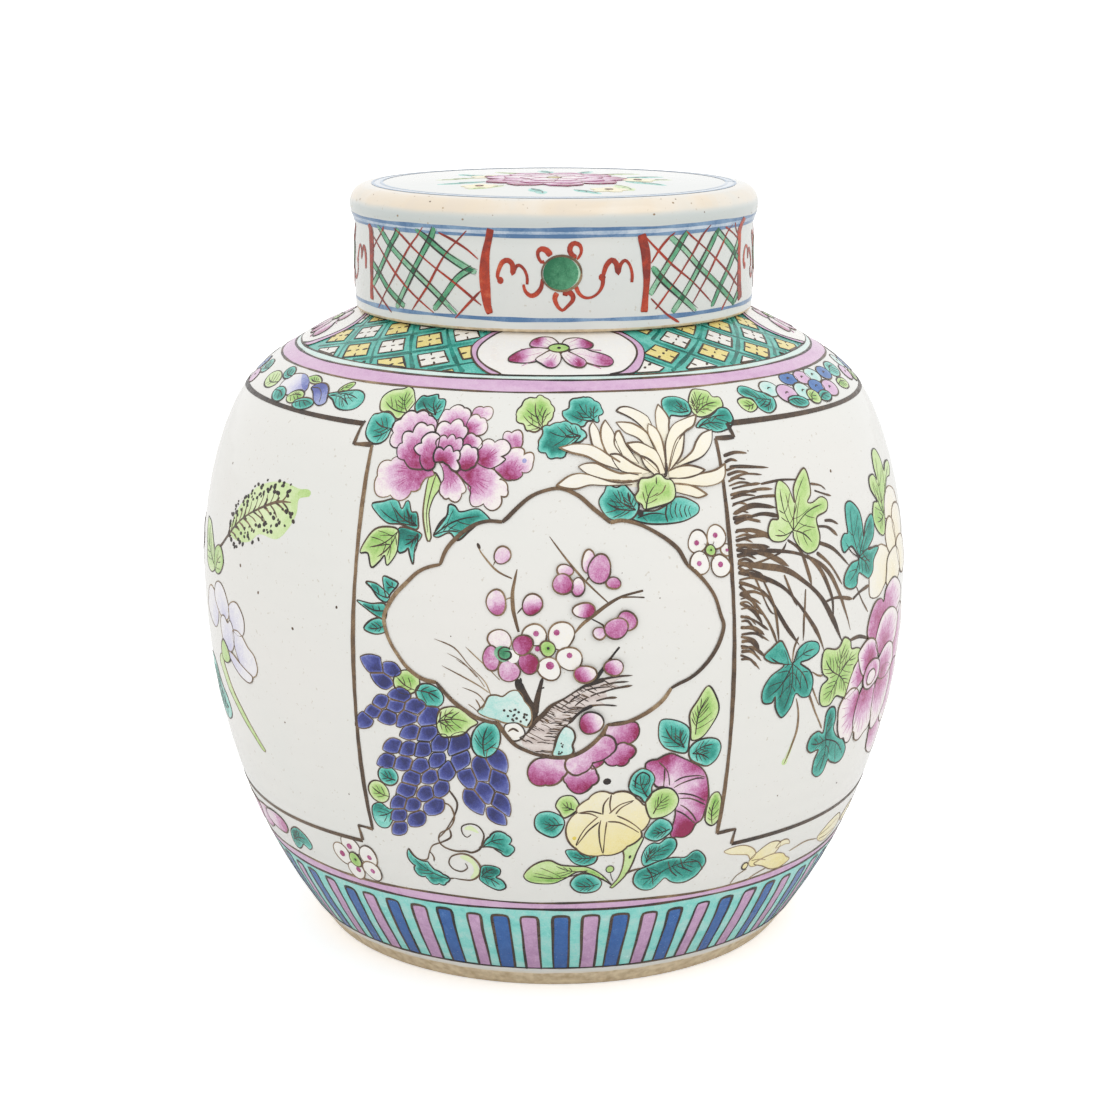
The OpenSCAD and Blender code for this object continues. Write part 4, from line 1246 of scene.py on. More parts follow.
def lower_flowers(name, at):
    """The pink cloud flower, the yellow ribbed flower and the morning glory, with their leaves."""
    m = Motif(name + "_cloud_flower", jar_surface, "jar", at)
    for level, cusps, start, end in (
        (0, [(13.9, 94.6), (20.7, 95.2, 0.2), (22.4, 93.8, 0.25), (19.6, 89, 0.1), (16.5, 88.8),
                (13.5, 91.5)], (15, 93), (20.5, 90.5)),
        (2, [(17, 89, 0.2), (19.6, 89, 0.45), (20.2, 84.6, 0.3), (16.8, 83.1, 0.2), (13.7, 84.1), (12, 87)],
                (15, 88), (18.5, 83.8)),
        (1, [(2.8, 80.3, 0.2), (3.3, 78.1, 0.4), (10.4, 77.4, 0.3), (11.5, 80.9, 0.1), (9.5, 84), (4, 84)],
                (6, 82), (7.5, 76.5)),
        (1, [(9.5, 83.5), (13.5, 84.8), (13.2, 83.9, 0.1), (10.2, 82.2)], (9, 84), (12, 83)),
        (3, [(-4.2, 85.4, 0.2), (-6.8, 79.9, 0.25), (-2.3, 77.7, 0.2), (2.4, 80, 0.2), (3.4, 85.2)],
                (-1, 84), (-2.5, 78)),
        (5, [(13.2, 91.8, 0.2), (16.3, 89.6, 0.2), (15.4, 86.6, 0.1), (10.3, 84.2, 0.15), (7.5, 81.1, 0.2),
                (4.2, 81.3, 0.2), (3.4, 85.2), (8, 87.5)], (8, 87), (12, 84)),
    ):
        edge = lobed(cusps)
        m.shape("rose", edge, level, fade(start, end, 0.28, 0.6 if level == 5 else 0.92), 0.5, 0.65,
                raw=True, grain=0.8)
    m.dot("outline", (14.4, 78.3), 1.0, 0, 0.95, oval=1.15)
    m.build()

    m = Motif(name + "_yellow_flower", jar_surface, "jar", at)
    leaf(m, "teal", [(-4, 69), (-1, 69.5), (2, 68), (3, 66), (2, 63), (0, 61.3), (-2.5, 62), (-5, 64),
            (-5.3, 67)], (2.5, 65.5), [(-3.5, 66)], 0, 3)
    leaf(m, "lime", [(0.5, 71.5), (2, 74), (5, 74.3), (6.8, 72), (6.5, 70), (3, 67.5), (1.5, 69.5)],
            (5.5, 70), [(2.2, 72.5)], 1, 2)
    leaf(m, "teal", [(3.5, 57), (4, 55), (6, 52.5), (9, 51.5), (12, 52.5), (12.5, 55), (9, 56), (6.5, 57)],
            (12, 54.5), [(4.8, 55)], 0, 3)
    leaf(m, "lime", [(-9, 48), (-7, 51), (-4, 53), (-1, 53.5), (2, 52), (6, 51.5), (10, 51), (14, 48.5),
            (17.5, 44.5), (15, 46.3), (10, 49), (7, 49.5), (3, 47), (0, 45.5), (-4, 45.3), (-7.5, 46)],
            (10, 49.8), [(-7.5, 48.3), (0, 52)], 2, 4, deep=0.75, pale=0.2)
    leaf(m, "teal", [(5, 45), (6, 47.5), (8.5, 48.8), (12, 48), (14.5, 45.5), (13.5, 42.8), (10.5, 41.8),
            (7, 42.5)], (13.8, 45), [(6, 44.8)], 3, 3)
    m.shape("lime", [(19.9, 57.3), (20.6, 54), (20.4, 50), (19.4, 46.5), (17.2, 43.4), (17.9, 43.1),
            (19.5, 44.6), (21.8, 47.6), (23.4, 51.5), (24.4, 55.5), (25.9, 59.9), (24.3, 59.6), (22, 58)],
            1, fade((19, 43), (23, 58), 0.5, 0.15), 0.45)
    m.dot("outline", (22.4, 53.8), 0.4, 3, 1.0, oval=1.5, lean=1.3)
    m.line([(21.6, 47.8), (22.9, 48.7), (26, 49.5)], 0.6, 3, 0.6)
    m.dot("lime", (16.7, 50), 1.2, 2, 0.5, 0.35)
    m.line([(16.9, 48.8), (17.3, 47.3), (18, 45.6)], 0.3, 3)
    edge = lobed([(6.4, 69.1, 0.1), (6.4, 70.8, 0.06), (9.5, 73.3, 0.22), (15.1, 74.9, 0.02),
            (16.2, 74.6, 0.2), (22.7, 72.8, 0.06), (24.6, 70.8, 0.28), (24.9, 62.1, 0.1), (25.2, 60.4, 0.1),
            (21.3, 57.6, 0.05), (20.4, 56.5, 0.12), (14.3, 55.1, 0.06), (10.9, 55, 0.12), (6.4, 57.6, 0.12),
            (3.5, 62.5, 0.15)])
    m.shape("yellow", edge, 4, lambda p: 0.12 + 0.5 * np.clip((72 - p[:, 1]) / 15, 0, 1)
            * np.clip(0.7 + (p[:, 0] - 8) / 40, 0, 1), 0.5, 0.55, raw=True)
    m.dot("yellow", (5.8, 61), 0.6, 6, 1.0)
    for points in (
        [(12.3, 67.7), (9.2, 64.6), (7.5, 61.8), (6.3, 58.7)], [(12.6, 66), (9.8, 63.5), (8.1, 61),
                (6.4, 58.5)],
        [(13.1, 66.6), (12.7, 63.8), (13.1, 59.6), (14.1, 55.7)], [(14.8, 66), (14.5, 62.4), (14.3, 55.7)],
        [(17.6, 67.7), (20.7, 66), (23.2, 64.1), (24.9, 62.4)], [(15.1, 66), (18.2, 65.6), (21.5, 63.8),
                (24.3, 61.8)],
        [(15.4, 68.5), (18.2, 71.1), (22.1, 72.2)], [(17.2, 68.3), (18.7, 70.2), (21.8, 71.9)],
        [(13.6, 68.3), (13.7, 71.4), (15.1, 73.6)], [(15.9, 68.8), (15.4, 71.4), (15.7, 74.4)],
        [(13.4, 68.5), (10, 69.5), (6.7, 69)], [(12, 67.7), (9.8, 68.8), (7, 69)],
    ):
        m.line(points, 0.4, 6, 0.6)
    m.build()

    m = Motif(name + "_morning_glory", jar_surface, "jar", at)
    leaf(m, "teal", [(28.5, 95), (33, 94.5), (36.5, 92), (36.8, 88), (36, 85), (32, 86), (29.5, 87.5),
            (28, 90.5)], (35.5, 86.5), [(29.5, 93.5), (34, 92.5)], 0, 3)
    leaf(m, "lime", [(41.5, 103.3), (38.5, 99.5), (36.5, 96), (37, 91.5), (37.5, 88.5), (40.5, 89),
            (43, 92), (45, 96), (44, 100)], (38.5, 90), [(42, 101)], 2, 5, deep=0.8, pale=0.2)
    leaf(m, "teal", [(37, 86), (39, 88), (42.5, 88.5), (45.5, 87.5), (46.5, 85), (45.5, 82), (43, 80.3),
            (40.5, 81), (37.5, 83)], (38, 84.5), [(44.5, 86.5), (43.5, 82)], 2, 3)
    leaf(m, "lime", [(44.5, 63), (44.3, 67), (45.3, 71), (47.5, 71.5), (49, 68), (49, 63), (47, 61)],
            (47, 61.5), [(47, 70)], 1, 3)
    leaf(m, "teal", [(26, 53), (27, 56.5), (29, 57.8), (31, 57.5), (33, 59), (35.5, 58.5), (36.5, 56),
            (35.5, 53.5), (33, 51.5), (29, 50.5), (27, 50.3)], (27.5, 51.3), [(30, 56.5), (35, 57)], 0, 3)
    leaf(m, "teal", [(25, 48.5), (28, 50), (32, 51.5), (36, 52), (40, 51.5), (42, 53), (44, 53.2),
            (46.5, 51), (47.5, 48.5), (46.5, 46), (45, 44), (42, 42.5), (39, 42.5), (36.5, 43.5),
            (34.5, 45), (33, 43.5), (31, 41.5), (28.5, 41.3), (26, 42.5), (24.3, 45)], (34, 48),
            [(26, 45.5), (45.5, 49)], 2, 3)
    for points in ([(34.5, 51), (36, 47.5), (38.5, 45)], [(38.5, 51.3), (40, 48), (43.5, 45.8)],
            [(42, 50.5), (45, 49), (47, 46)], [(28, 49.5), (30, 46.5), (31, 43)]):
        m.line(points, 0.35, 4, 0.85)
    m.shape("rose", [(24.7, 82), (26, 83.8), (28, 84), (30, 85), (32, 85.3), (34.5, 84), (38, 82), (41, 80),
            (43, 77), (44, 73), (44.3, 70), (43.8, 66), (43, 63.5), (41.5, 62.5), (40.5, 60), (38.5, 58.7),
            (36, 59), (34, 60), (34.5, 68), (31, 75), (28, 76)], 4,
            lambda p: np.clip(np.linalg.norm(p - (33, 73), axis=1) / 12.5, 0,
            1) ** 1.3 * (0.8 + 0.25 * np.cos(7 * np.arctan2(p[:, 1] - 73, p[:, 0] - 31) + 0.9)) + 0.1, 0.5,
            0.8, grain=0.7)
    for points in (
        [(28.5, 83.1), (31.1, 80), (32, 75.8)], [(33.3, 76.7), (35.8, 77.8), (40, 77.8), (42.5, 77)],
        [(33.3, 74.9), (35.8, 76.1), (40, 77), (42.3, 76.6)], [(34.7, 73), (37.2, 72.6), (40, 71.6),
                (43.5, 69.5)],
        [(35.3, 71.4), (37.8, 71.2), (40, 70.4), (43.6, 68.3)], [(35.8, 69.4), (37.8, 68), (40, 65.7),
                (41.5, 63.4)],
        [(34.8, 67.7), (37.2, 66.3), (40, 63.8), (41.3, 62.6)], [(30.2, 81), (30.3, 78), (30.3, 75.5)],
    ):
        m.line(points, 0.38, 6, 0.75)
    leaf(m, "lime", [(25.5, 71), (27, 74), (30, 75.3), (33, 74.5), (35, 71.5), (34.5, 68.5), (32, 66.5),
            (29, 66), (27, 66.5)], (28, 67.5), [(32.5, 73)], 6, 3)
    leaf(m, "teal", [(20.4, 76.4), (21, 79.5), (22.7, 81.2), (24.3, 81.6), (26.6, 80.3), (27.6, 78.1),
            (26.9, 75.8), (26.9, 73.6), (25.2, 71.4), (23.8, 73), (21.5, 74.4)], (25.8, 73), [(23.5, 80.5)],
            6, 3)
    m.line([(22.2, 76), (22.3, 79), (24, 80.5), (26, 79.2), (25.8, 77), (24.2, 76.8)], 0.4, 8, 0.95)
    leaf(m, "teal", [(26, 61), (27.5, 64), (30, 65.8), (33, 64.5), (34.3, 62), (33, 60), (30, 58.5),
            (27, 59.5)], (33.5, 62), [(27.5, 61.5)], 6, 3)
    m.build()


def front_field(name, at):
    peony(name + "_peony", at)
    top_leaves(name + "_top_leaves", at)
    chrysanthemum(name + "_chrysanthemum", at)
    loose_blossom(name + "_blossom", (at[0] + 42.8, at[1] + 139.2))
    medallion(name + "_medallion", at)
    grapes(name + "_grapes", at)
    lower_flowers(name, at)


# ---------------------------------------------------------------- bands, bars and panel lines


def round_points(y, wave, seed):
    """Once round the jar at height y, wavering a little."""
    step = 1.6
    n = int(TURN / step)
    x = np.arange(n + 1) / n * TURN - TURN / 2
    a = x / BELLY_R
    return np.stack([x, y + wave * np.sin(3 * a + seed) + wave * 0.6 * np.sin(11 * a + seed * 2)], 1)


def ring_faces(rings, n):
    """The faces of a closed tube of rings, each with n points and running right round the piece."""
    return [(k * n + i, k * n + (i + 1) % n, (k + 1) % rings * n + (i + 1) % n,
            (k + 1) % rings * n + i) for k in range(rings) for i in range(n)]


def ring_edges(rings, n):
    return [(k * n + i, k * n + (i + 1) % n) for k in rings for i in range(n)]


def ring_band(m, paint, low, high, tone, waves=0.3):
    """A painted band right round the jar, as one closed ring of enamel."""
    n = len(low) - 1
    rows = max(2, int(math.ceil((high[0, 1] - low[0, 1]) / 2.2)))
    base = (m.level + 1) * LEVEL
    xy, lift, shade = [], [], []
    for k in range(rows + 1):
        t = k / rows
        xy.append(low[:n] * (1 - t) + high[:n] * t)
        lift.append(np.full(n, base if k in (0, rows) else base + LEVEL))
        a = xy[-1][:, 0] / BELLY_R
        shade.append(tone + waves * (0.5 * np.sin(9 * a + k) + 0.5 * np.sin(23 * a + 2 * k)) * 0.5)
    for k in (rows, 0):
        xy.append(xy[k])
        lift.append(np.full(n, -SUNK))
        shade.append(shade[k])
    m.coat(paint).add(np.vstack(xy), np.concatenate(lift), np.concatenate(shade), ring_faces(rows + 3, n),
            ring_edges((0, rows), n))


def ring_stroke(m, paint, points, half, ink, level, rise):
    """A line right round a piece that closes on itself, with half its width and its ink at each point."""
    n = len(points) - 1
    out = np.stack([0 * half, half], 1)
    low, high = points - out, points + out
    base = (m.level + level + 1) * LEVEL
    xy = np.vstack([low[:n], points[:n], high[:n], high[:n], low[:n]])
    lift = np.repeat([base, base + rise, base, -SUNK, -SUNK], n)
    m.coat(paint).add(xy, lift, np.tile(ink[:n], 5), ring_faces(5, n), ring_edges((0, 2), n))


def ring_line(m, points, width, level, tone):
    """A painted line right round the jar, laid with a loaded brush while the jar turned."""
    a = points[:, 0] / BELLY_R
    press = 0.22 * np.sin(7 * a + width * 9) + 0.15 * np.sin(19 * a + 1) + 0.1 * np.sin(43 * a)
    ink = tone + 0.18 * np.sin(5 * a + 2) + 0.12 * np.sin(31 * a)
    ring_stroke(m, "outline", points, width / 2 * (1 + press), ink, level, STROKE)


def lower_band():
    m = Motif("lower_band", jar_surface, "jar")
    hand = random.Random("bars")
    bottom, top = round_points(9.1, 0.12, 0.4), round_points(35.1, 0.25, 1.3)
    ring_band(m, "turquoise", bottom, top, 0.5, 0.35)
    ring_line(m, bottom, 0.6, 5, 0.9)
    ring_line(m, top, 0.75, 3, 0.9)
    edge = round_points(37.9, 0.4, 2.8)
    ring_band(m, "mauve", top + (0, 0.35), edge, 0.45)
    ring_line(m, edge, 0.65, 3, 0.55)
    m.build()

    m = Motif("bars", jar_surface, "jar")
    count = 66
    first_x = 2.4
    for k in range(count):
        x = first_x + k * TURN / count + hand.uniform(-0.5, 0.5)
        if x > TURN / 2:
            x -= TURN
        half = hand.uniform(2.35, 2.85)
        lean = hand.uniform(-0.7, 0.7)
        high = hand.uniform(32.0, 33.0)
        low = 9.0 + hand.uniform(-0.3, 0.3)
        sides = []
        for sign in (-1, 1):
            side = [(x + sign * half + lean * 0.6, low), (x + sign * half + lean * 0.2, 17),
                    (x + sign * half - lean * 0.3, 25), (x + sign * half - lean * 0.6, high - 1.2)][::-sign]
            for i in (1, 2):
                side[i] = (side[i][0] + hand.uniform(-0.2, 0.2), side[i][1])
            sides.append(side)
        cap = [(x + half * part - lean * 0.6, high + rise) for part, rise in ((-0.7, -0.15), (0, 0.05),
                (0.7, -0.15))]
        path = smooth(sides[0] + cap + sides[1], step=1.0)
        paint, deeper = (("blue", 0.0), ("mauve", 0.12))[k % 2]
        m.fill(paint, path, 2, fade((x, 9), (x, 33), 0.75 + deeper, 0.5 + deeper), grain=1.8)
        m.line(path, 0.9, 4, 0.85, (0.8, 0.8), raw=True, press=0.22)
    m.build()


def panel_lines(name, at):
    """The stepped brown frame of a side panel."""
    m = Motif(name, jar_surface, "jar", at)
    wide = 109.5
    left = at[0] < 0
    deep, step = (2.4, 4.6) if left else (0, 5.8)
    for sign in (-1, 1):
        x = sign * wide
        m.line([(x, 168.3 - deep), (x + sign * 0.6, 150), (x + sign * 0.9, 130), (x + sign * 0.8, 100),
                (x + sign * 0.6, 75), (x + sign * 0.6, 58)], 1.2, 3, 0.5, (0.9, 0.9), press=0.15)
        m.line([(x, 168.4 - deep), (x - sign * 3, 168.2 - deep), (x - sign * 6.5, 168.2 - deep * 1.1)],
                1.15, 3.2, 0.65, (0.9, 0.9))
        m.line([(x - sign * 6.6, 168 - deep * 1.1), (x - sign * 6.1, 170), (x - sign * 5.4, 172.3)], 1.05,
                3.4, 0.7, (0.9, 0.9))
        m.line([(x + sign * 0.6, 58), (x - sign * step / 2, 58.2), (x - sign * step, 58.2)], 1.0, 3.2, 0.6,
                (0.9, 0.9))
        m.line([(x - sign * step, 58.3), (x - sign * (step - 0.2), 55.5), (x - sign * (step - 0.2), 53.3)],
                1.0, 3.4, 0.6, (0.9, 0.9))
    top = np.linspace(-wide + 6.7, wide - 6.7, 60)
    m.line(np.stack([top * 1.01, 171.8 + 0.35 * np.sin(top / 23)], 1), 1.5, 3, 0.88, (0.9, 0.9), raw=True,
            press=0.15)
    foot = np.linspace(step - wide, wide - step, 60)
    m.line(np.stack([foot, 52.9 + 0.3 * np.sin(foot / 19 + 1)], 1), 1.2, 3, 0.7, (0.9, 0.9), raw=True,
            press=0.15)
    m.build()


# ---------------------------------------------------------------- the side panels


def grass(name, at, flip=False):
    """Tall grass that bends into the panel from its frame."""
    m = Motif(name, jar_surface, "jar", at, flip=flip)
    for points, width in (
        ([(52.5, 160.3), (57, 160), (66, 158.8)], 0.8), ([(52, 157), (57, 158), (63, 157.2)], 0.7),
        ([(62, 154.8), (70, 155), (78, 154)], 0.6), ([(52, 154.5), (57, 155), (62, 155)], 0.7),
        ([(52, 152.5), (60, 153.5), (66, 153)], 0.7), ([(51.5, 150.5), (60, 151.5), (68, 151)], 0.7),
        ([(51.5, 148), (58, 149.5), (66, 148)], 1.2), ([(51.5, 145.5), (60, 147), (67, 145.5)], 1.1),
        ([(51.5, 143.5), (57, 143), (64, 140)], 1.2), ([(51, 141), (58, 141.5), (66, 141)], 1.0),
        ([(51, 138.5), (60, 136.5), (68, 132)], 1.3), ([(51, 137), (62, 137), (74, 134), (84, 127),
                (93, 110)], 1.1),
        ([(51, 135), (58, 133.5), (66, 131.5), (72, 128), (80, 121), (89, 107.5)], 1.5),
        ([(55, 134), (65, 136), (68, 138.5)], 0.7),
        ([(51, 132.5), (57, 131), (65, 127), (71, 121), (78, 112), (81, 106.5)], 1.1),
        ([(51, 130), (56, 128), (60, 125), (66, 116), (71, 110)], 1.0), ([(58, 131), (62, 122),
                (63.5, 111.5)], 0.7),
        ([(51, 127), (55, 124.5), (60, 118), (63, 111.5)], 0.9), ([(51, 124.5), (55, 122), (58, 118)], 0.9),
        ([(51, 121), (55, 119.5), (60, 116)], 0.8), ([(51, 118), (55, 117), (58, 114)], 0.8),
        ([(51, 115.5), (55, 114), (57, 111)], 0.8), ([(51, 113), (54, 112), (56, 109.5)], 0.8),
        ([(51, 110.5), (54, 109), (56.5, 106.5)], 0.8), ([(68.5, 139), (73, 135), (76, 125.5)], 1.0),
        ([(66, 130), (68, 125), (70, 121)], 0.7), ([(56, 131), (60, 122), (62, 120)], 0.6),
        ([(75, 134), (80, 129), (84, 121), (84.5, 114)], 1.1), ([(80, 141), (85, 140), (89, 137)], 0.9),
        ([(79, 137), (86, 134), (93, 128)], 0.9), ([(79, 134), (84, 130), (89, 123.5)], 0.9),
        ([(82, 150.5), (86, 149), (89, 148)], 0.6), ([(81, 152.5), (85, 151.5), (87, 150)], 0.6),
        ([(84, 142), (87, 141.5), (90, 140)], 0.7), ([(73.5, 125), (72.5, 117), (72.3, 111)], 0.6),
        ([(80, 120), (86, 120.5), (94, 118.5)], 0.9), ([(94, 118.5), (98, 119.8), (103.5, 120.5)], 1.0),
        ([(96, 121.5), (99, 117), (102.5, 113)], 0.5), ([(93, 107), (98, 107), (104, 105)], 0.9),
        ([(51, 146.8), (55, 146.5), (60, 144.8)], 1.0), ([(51, 139.8), (56, 139), (62, 138)], 1.1),
        ([(51, 134), (55, 131.5), (60, 130)], 1.0), ([(51, 129), (54, 126), (57, 120)], 0.7),
    ):
        stroke(m, points, width, 2, 0.6)
    for k in range(34):
        y = 163 - k * 1.62 + m.random.uniform(-0.5, 0.5)
        long = m.random.uniform(4, 9)
        drop = max(0, (150 - y) * 0.09)
        stroke(m, [(51.2, y), (51.2 + long * 0.5, y + 0.6 - drop * 0.3), (51.2 + long, y - drop)],
                m.random.uniform(0.5, 0.9), 2, 0.55)
    m.build()


def creeper(name, at, flip=False):
    """Lobed leaves and stems of the side panel."""
    m = Motif(name, jar_surface, "jar", at, flip=flip)
    for points, width in (([(71, 95), (72.5, 90), (72.5, 85), (71, 80), (69.5, 76)], 0.7), ([(76.5, 101.5),
            (79, 100), (81, 99.5)], 0.5), ([(75.5, 96), (79, 90), (83.5, 83.5)], 0.7),
            ([(77, 97), (80, 92), (81, 91)], 0.5), ([(70.5, 112.5), (69, 109.5), (68.5, 106)], 0.6)):
        m.line(points, width, 1, 0.4)
    m.line([(72.3, 84), (71, 80), (69.6, 76.2)], 1.0, 0.5, 0.3, paint="lime")
    m.dot("lime", (69.6, 76.6), 1.1, 0, 0.3)
    leaf(m, "lime", [(70.5, 141), (67, 139), (63, 139.5), (61.8, 142), (63.5, 145), (66, 145), (66, 148),
            (66.5, 152), (68.5, 155), (71.5, 153), (72.5, 149.5), (73, 148.5), (73.5, 152), (76, 155),
            (79.5, 157), (80.5, 154), (80, 150), (78, 148), (80, 147.5), (84, 148.5), (86.5, 147),
            (85.5, 144.5), (81, 143.5), (80.5, 141.5), (81, 138), (79, 135), (75, 134.5), (72, 137),
            (70.7, 139.5)], (70.8, 141.3), [(63.5, 141), (68.5, 153.5), (79.5, 155.5), (85, 146.5),
            (78, 136.5)], 4, 2, deep=0.5, pale=0.15)
    leaf(m, "teal", [(98, 129), (95, 133), (91, 132), (90, 135), (92, 137), (94, 137), (94, 141),
            (95, 144.5), (98, 145), (101.5, 142), (102.5, 138), (102, 134.5), (105, 138), (109, 139.5),
            (110, 137), (108, 133), (104, 130.5), (109, 130.3), (111, 129.5), (107, 127), (106, 124),
            (103, 122.5), (100, 124), (97.5, 125), (96, 122), (93, 121.5), (90, 123), (90.5, 126),
            (94, 128.5)], (98.5, 129.3), [(92, 135), (97, 143.5), (108.5, 138), (109.5, 129.8), (104, 124),
            (92, 123.5)], 4, 2, deep=0.75, pale=0.35)
    leaf(m, "lime", [(116.5, 132), (112, 134), (110, 138), (112, 142), (115, 142), (112, 146), (112.5, 149),
            (116, 149.5), (118.5, 147.5), (118.5, 151), (120.5, 155), (124, 155.5), (127, 152.5),
            (127.5, 148.5), (131, 150), (136, 150), (137, 148), (134, 146), (129, 146), (125, 143.5),
            (121, 141), (119, 136)], (118.5, 137.5), [(112, 136.5), (114, 148), (123, 154), (135, 149)], 4,
            2, deep=0.6, pale=0.2)
    leaf(m, "teal", [(68.5, 105.5), (66, 110), (64, 112.5), (61, 111), (58.5, 109), (61, 107),
            (65.5, 105.5), (61, 103), (58.5, 99.5), (59, 96), (62, 95.5), (63, 97), (63.5, 93.5),
            (66, 90.5), (69, 93), (70.5, 96.5), (73, 95), (76, 95), (77, 98.5), (75.5, 102), (71.5, 105),
            (75, 105.5), (78.5, 107), (78, 109.5), (74, 110.5), (70.5, 109)], (68.5, 105.3), [(60, 109),
            (60, 97), (66, 92), (75.5, 96), (77.5, 108)], 4, 2, deep=0.8, pale=0.4)
    leaf(m, "lime", [(80.5, 106), (82, 107), (86, 106), (88, 106.5), (90, 108.5), (93, 107), (94, 104.5),
            (97, 104), (99, 103), (98, 100), (96, 98.5), (96.5, 95.5), (94.5, 93), (93.5, 90.5), (91, 91),
            (88, 92), (85.5, 90), (82, 90.5), (80.5, 93), (81, 96.5), (83.5, 98), (81, 100), (80.2, 103)],
            (88.5, 98), [(81.5, 104.5), (91, 107), (97.5, 102.5), (93, 92), (82, 92)], 4, 3, deep=0.7,
            pale=0.25)
    leaf(m, "teal", [(84.5, 87), (86, 89), (88.5, 88.5), (89.5, 85), (89.5, 82), (92, 79), (96, 77),
            (99, 73.5), (98, 70.5), (95, 70), (91, 71.5), (89.5, 72.5), (88.5, 69), (86, 68), (83, 70),
            (82.5, 73.5), (83.5, 77), (80, 77), (78, 79), (79, 82), (82, 83), (84.5, 82)], (86.3, 79.5),
            [(87, 88), (98, 71.5), (86, 69), (79, 80)], 4, 2, deep=0.85, pale=0.4)
    m.build()


def side_peony(name, at, flip=False):
    """The large pink peony of the side panel, with a cream flower above it."""
    m = Motif(name, jar_surface, "jar", at, flip=flip)
    for level, points, base in (
        (0, [(120, 136), (119, 140), (124, 143), (130, 143.5), (136, 141), (138, 137), (131, 134.5)],
                (128, 131)),
        (2, [(126, 134), (128, 137), (133, 138), (139, 136), (141, 131), (136, 127), (129, 127),
                (127, 130)], (129, 128)),
        (2, [(118.5, 127.5), (118, 132), (121, 135.5), (125, 135.5), (128, 132), (127, 127), (122, 125.5)],
                (126, 127)),
        (0, [(104, 117), (103.5, 122), (105, 127), (108, 129.5), (112, 130), (115, 129.5), (119.5, 127),
                (120.5, 122), (116, 119), (110, 116)], (117, 120)),
        (4, [(116, 118), (116.5, 122), (118, 125), (122, 126.5), (127, 126.5), (131, 123.5), (130, 118),
                (123, 116)], (122, 118)),
        (4, [(128, 127), (132, 128.5), (138, 127.5), (143, 123), (142, 118), (135, 117), (130, 121)],
                (130, 120)),
    ):
        m.shape("cream", points, level, glow(base, 13, 0.75, 0.15), 0.45, 0.45)
    for level, points, base, deep, pale in (
        (6, [(103, 106), (103.3, 110), (105.5, 113.5), (108.5, 115), (111.5, 114.8), (113.5, 113.5),
                (115.5, 116.5), (120, 118.3), (125, 118), (131, 115), (134, 111), (131, 106), (124, 106),
                (116, 108), (109, 103)], (112, 107), 0.85, 0.12),
        (6, [(126, 106), (132, 109), (138, 106), (142, 101), (141, 95), (136, 90), (129, 92), (125, 99)],
                (127, 98), 0.8, 0.1),
        (8, [(109, 102), (109.5, 106), (113, 109.5), (119, 110.5), (126, 108.5), (130.5, 104.5), (128, 99),
                (121, 96.5), (113, 98)], (116, 99), 0.85, 0.1),
        (6, [(93, 90), (94, 94), (96.5, 98.5), (99, 100.5), (102, 100.5), (104, 97), (101.5, 93), (97, 91)],
                (102, 95), 0.7, 0.15),
        (8, [(98, 101), (100, 103.5), (104, 105), (108.5, 103.5), (111, 99.5), (110, 96), (106, 94),
                (101.5, 95)], (106, 98), 0.95, 0.35),
        (8, [(127, 90), (134, 92), (140, 88), (142, 82), (138, 76), (130, 73), (124, 78)], (127, 88), 0.8,
                0.1),
        (4, [(116, 77), (121, 77), (128, 75), (133, 71), (133, 66.5), (128, 64), (121, 66), (117, 70)],
                (119, 77), 0.75, 0.15),
        (7, [(91, 84), (90.5, 87.5), (92.5, 90.5), (96, 92.3), (100, 91), (102, 87), (101.5, 82),
                (100.5, 76), (98, 75.5), (96, 77.5), (94, 77.8), (92, 80.5)], (102, 86), 0.95, 0.0),
        (8, [(101, 78.5), (100, 83), (101, 88), (104, 91.5), (109, 91.5), (113, 88.5), (114, 82),
                (113, 76.5), (110.5, 75.5), (107, 74), (104, 74.8), (102.5, 77.3)], (105, 90), 0.85, 0.02),
        (9, [(112, 88), (116, 92.5), (122, 93.5), (128, 89.5), (128, 82), (123, 76), (117, 74.5),
                (113.5, 79)], (117, 91), 0.9, 0.04),
        (10, [(111.5, 95), (115, 99), (121, 100), (127, 97), (128, 92), (122, 89.5), (115, 90.5)],
                (117, 92), 0.9, 0.12),
        (12, [(102.5, 93.5), (104.5, 97), (109, 98), (113.5, 96), (113, 91.5), (108, 89.5), (104, 90.5)],
                (107, 95), 0.35, 0.98),
        (13, [(104.8, 92.5), (106, 94.7), (109, 95), (110.8, 93), (109, 91), (106, 91)], (108, 93), 0.0,
                0.12),
    ):
        petal(m, points, base, deep, pale, level, span=0.92, rim=2.6)
        p = smooth(points, True, 1.4)
        for q in p[::3]:
            way = q - base
            if np.linalg.norm(way) > 4:
                m.line([base + way * 0.55, base + way * 0.85], 0.2, level + 1.2, 0.35 + 0.3 * deep,
                        paint="rose")
    m.build()


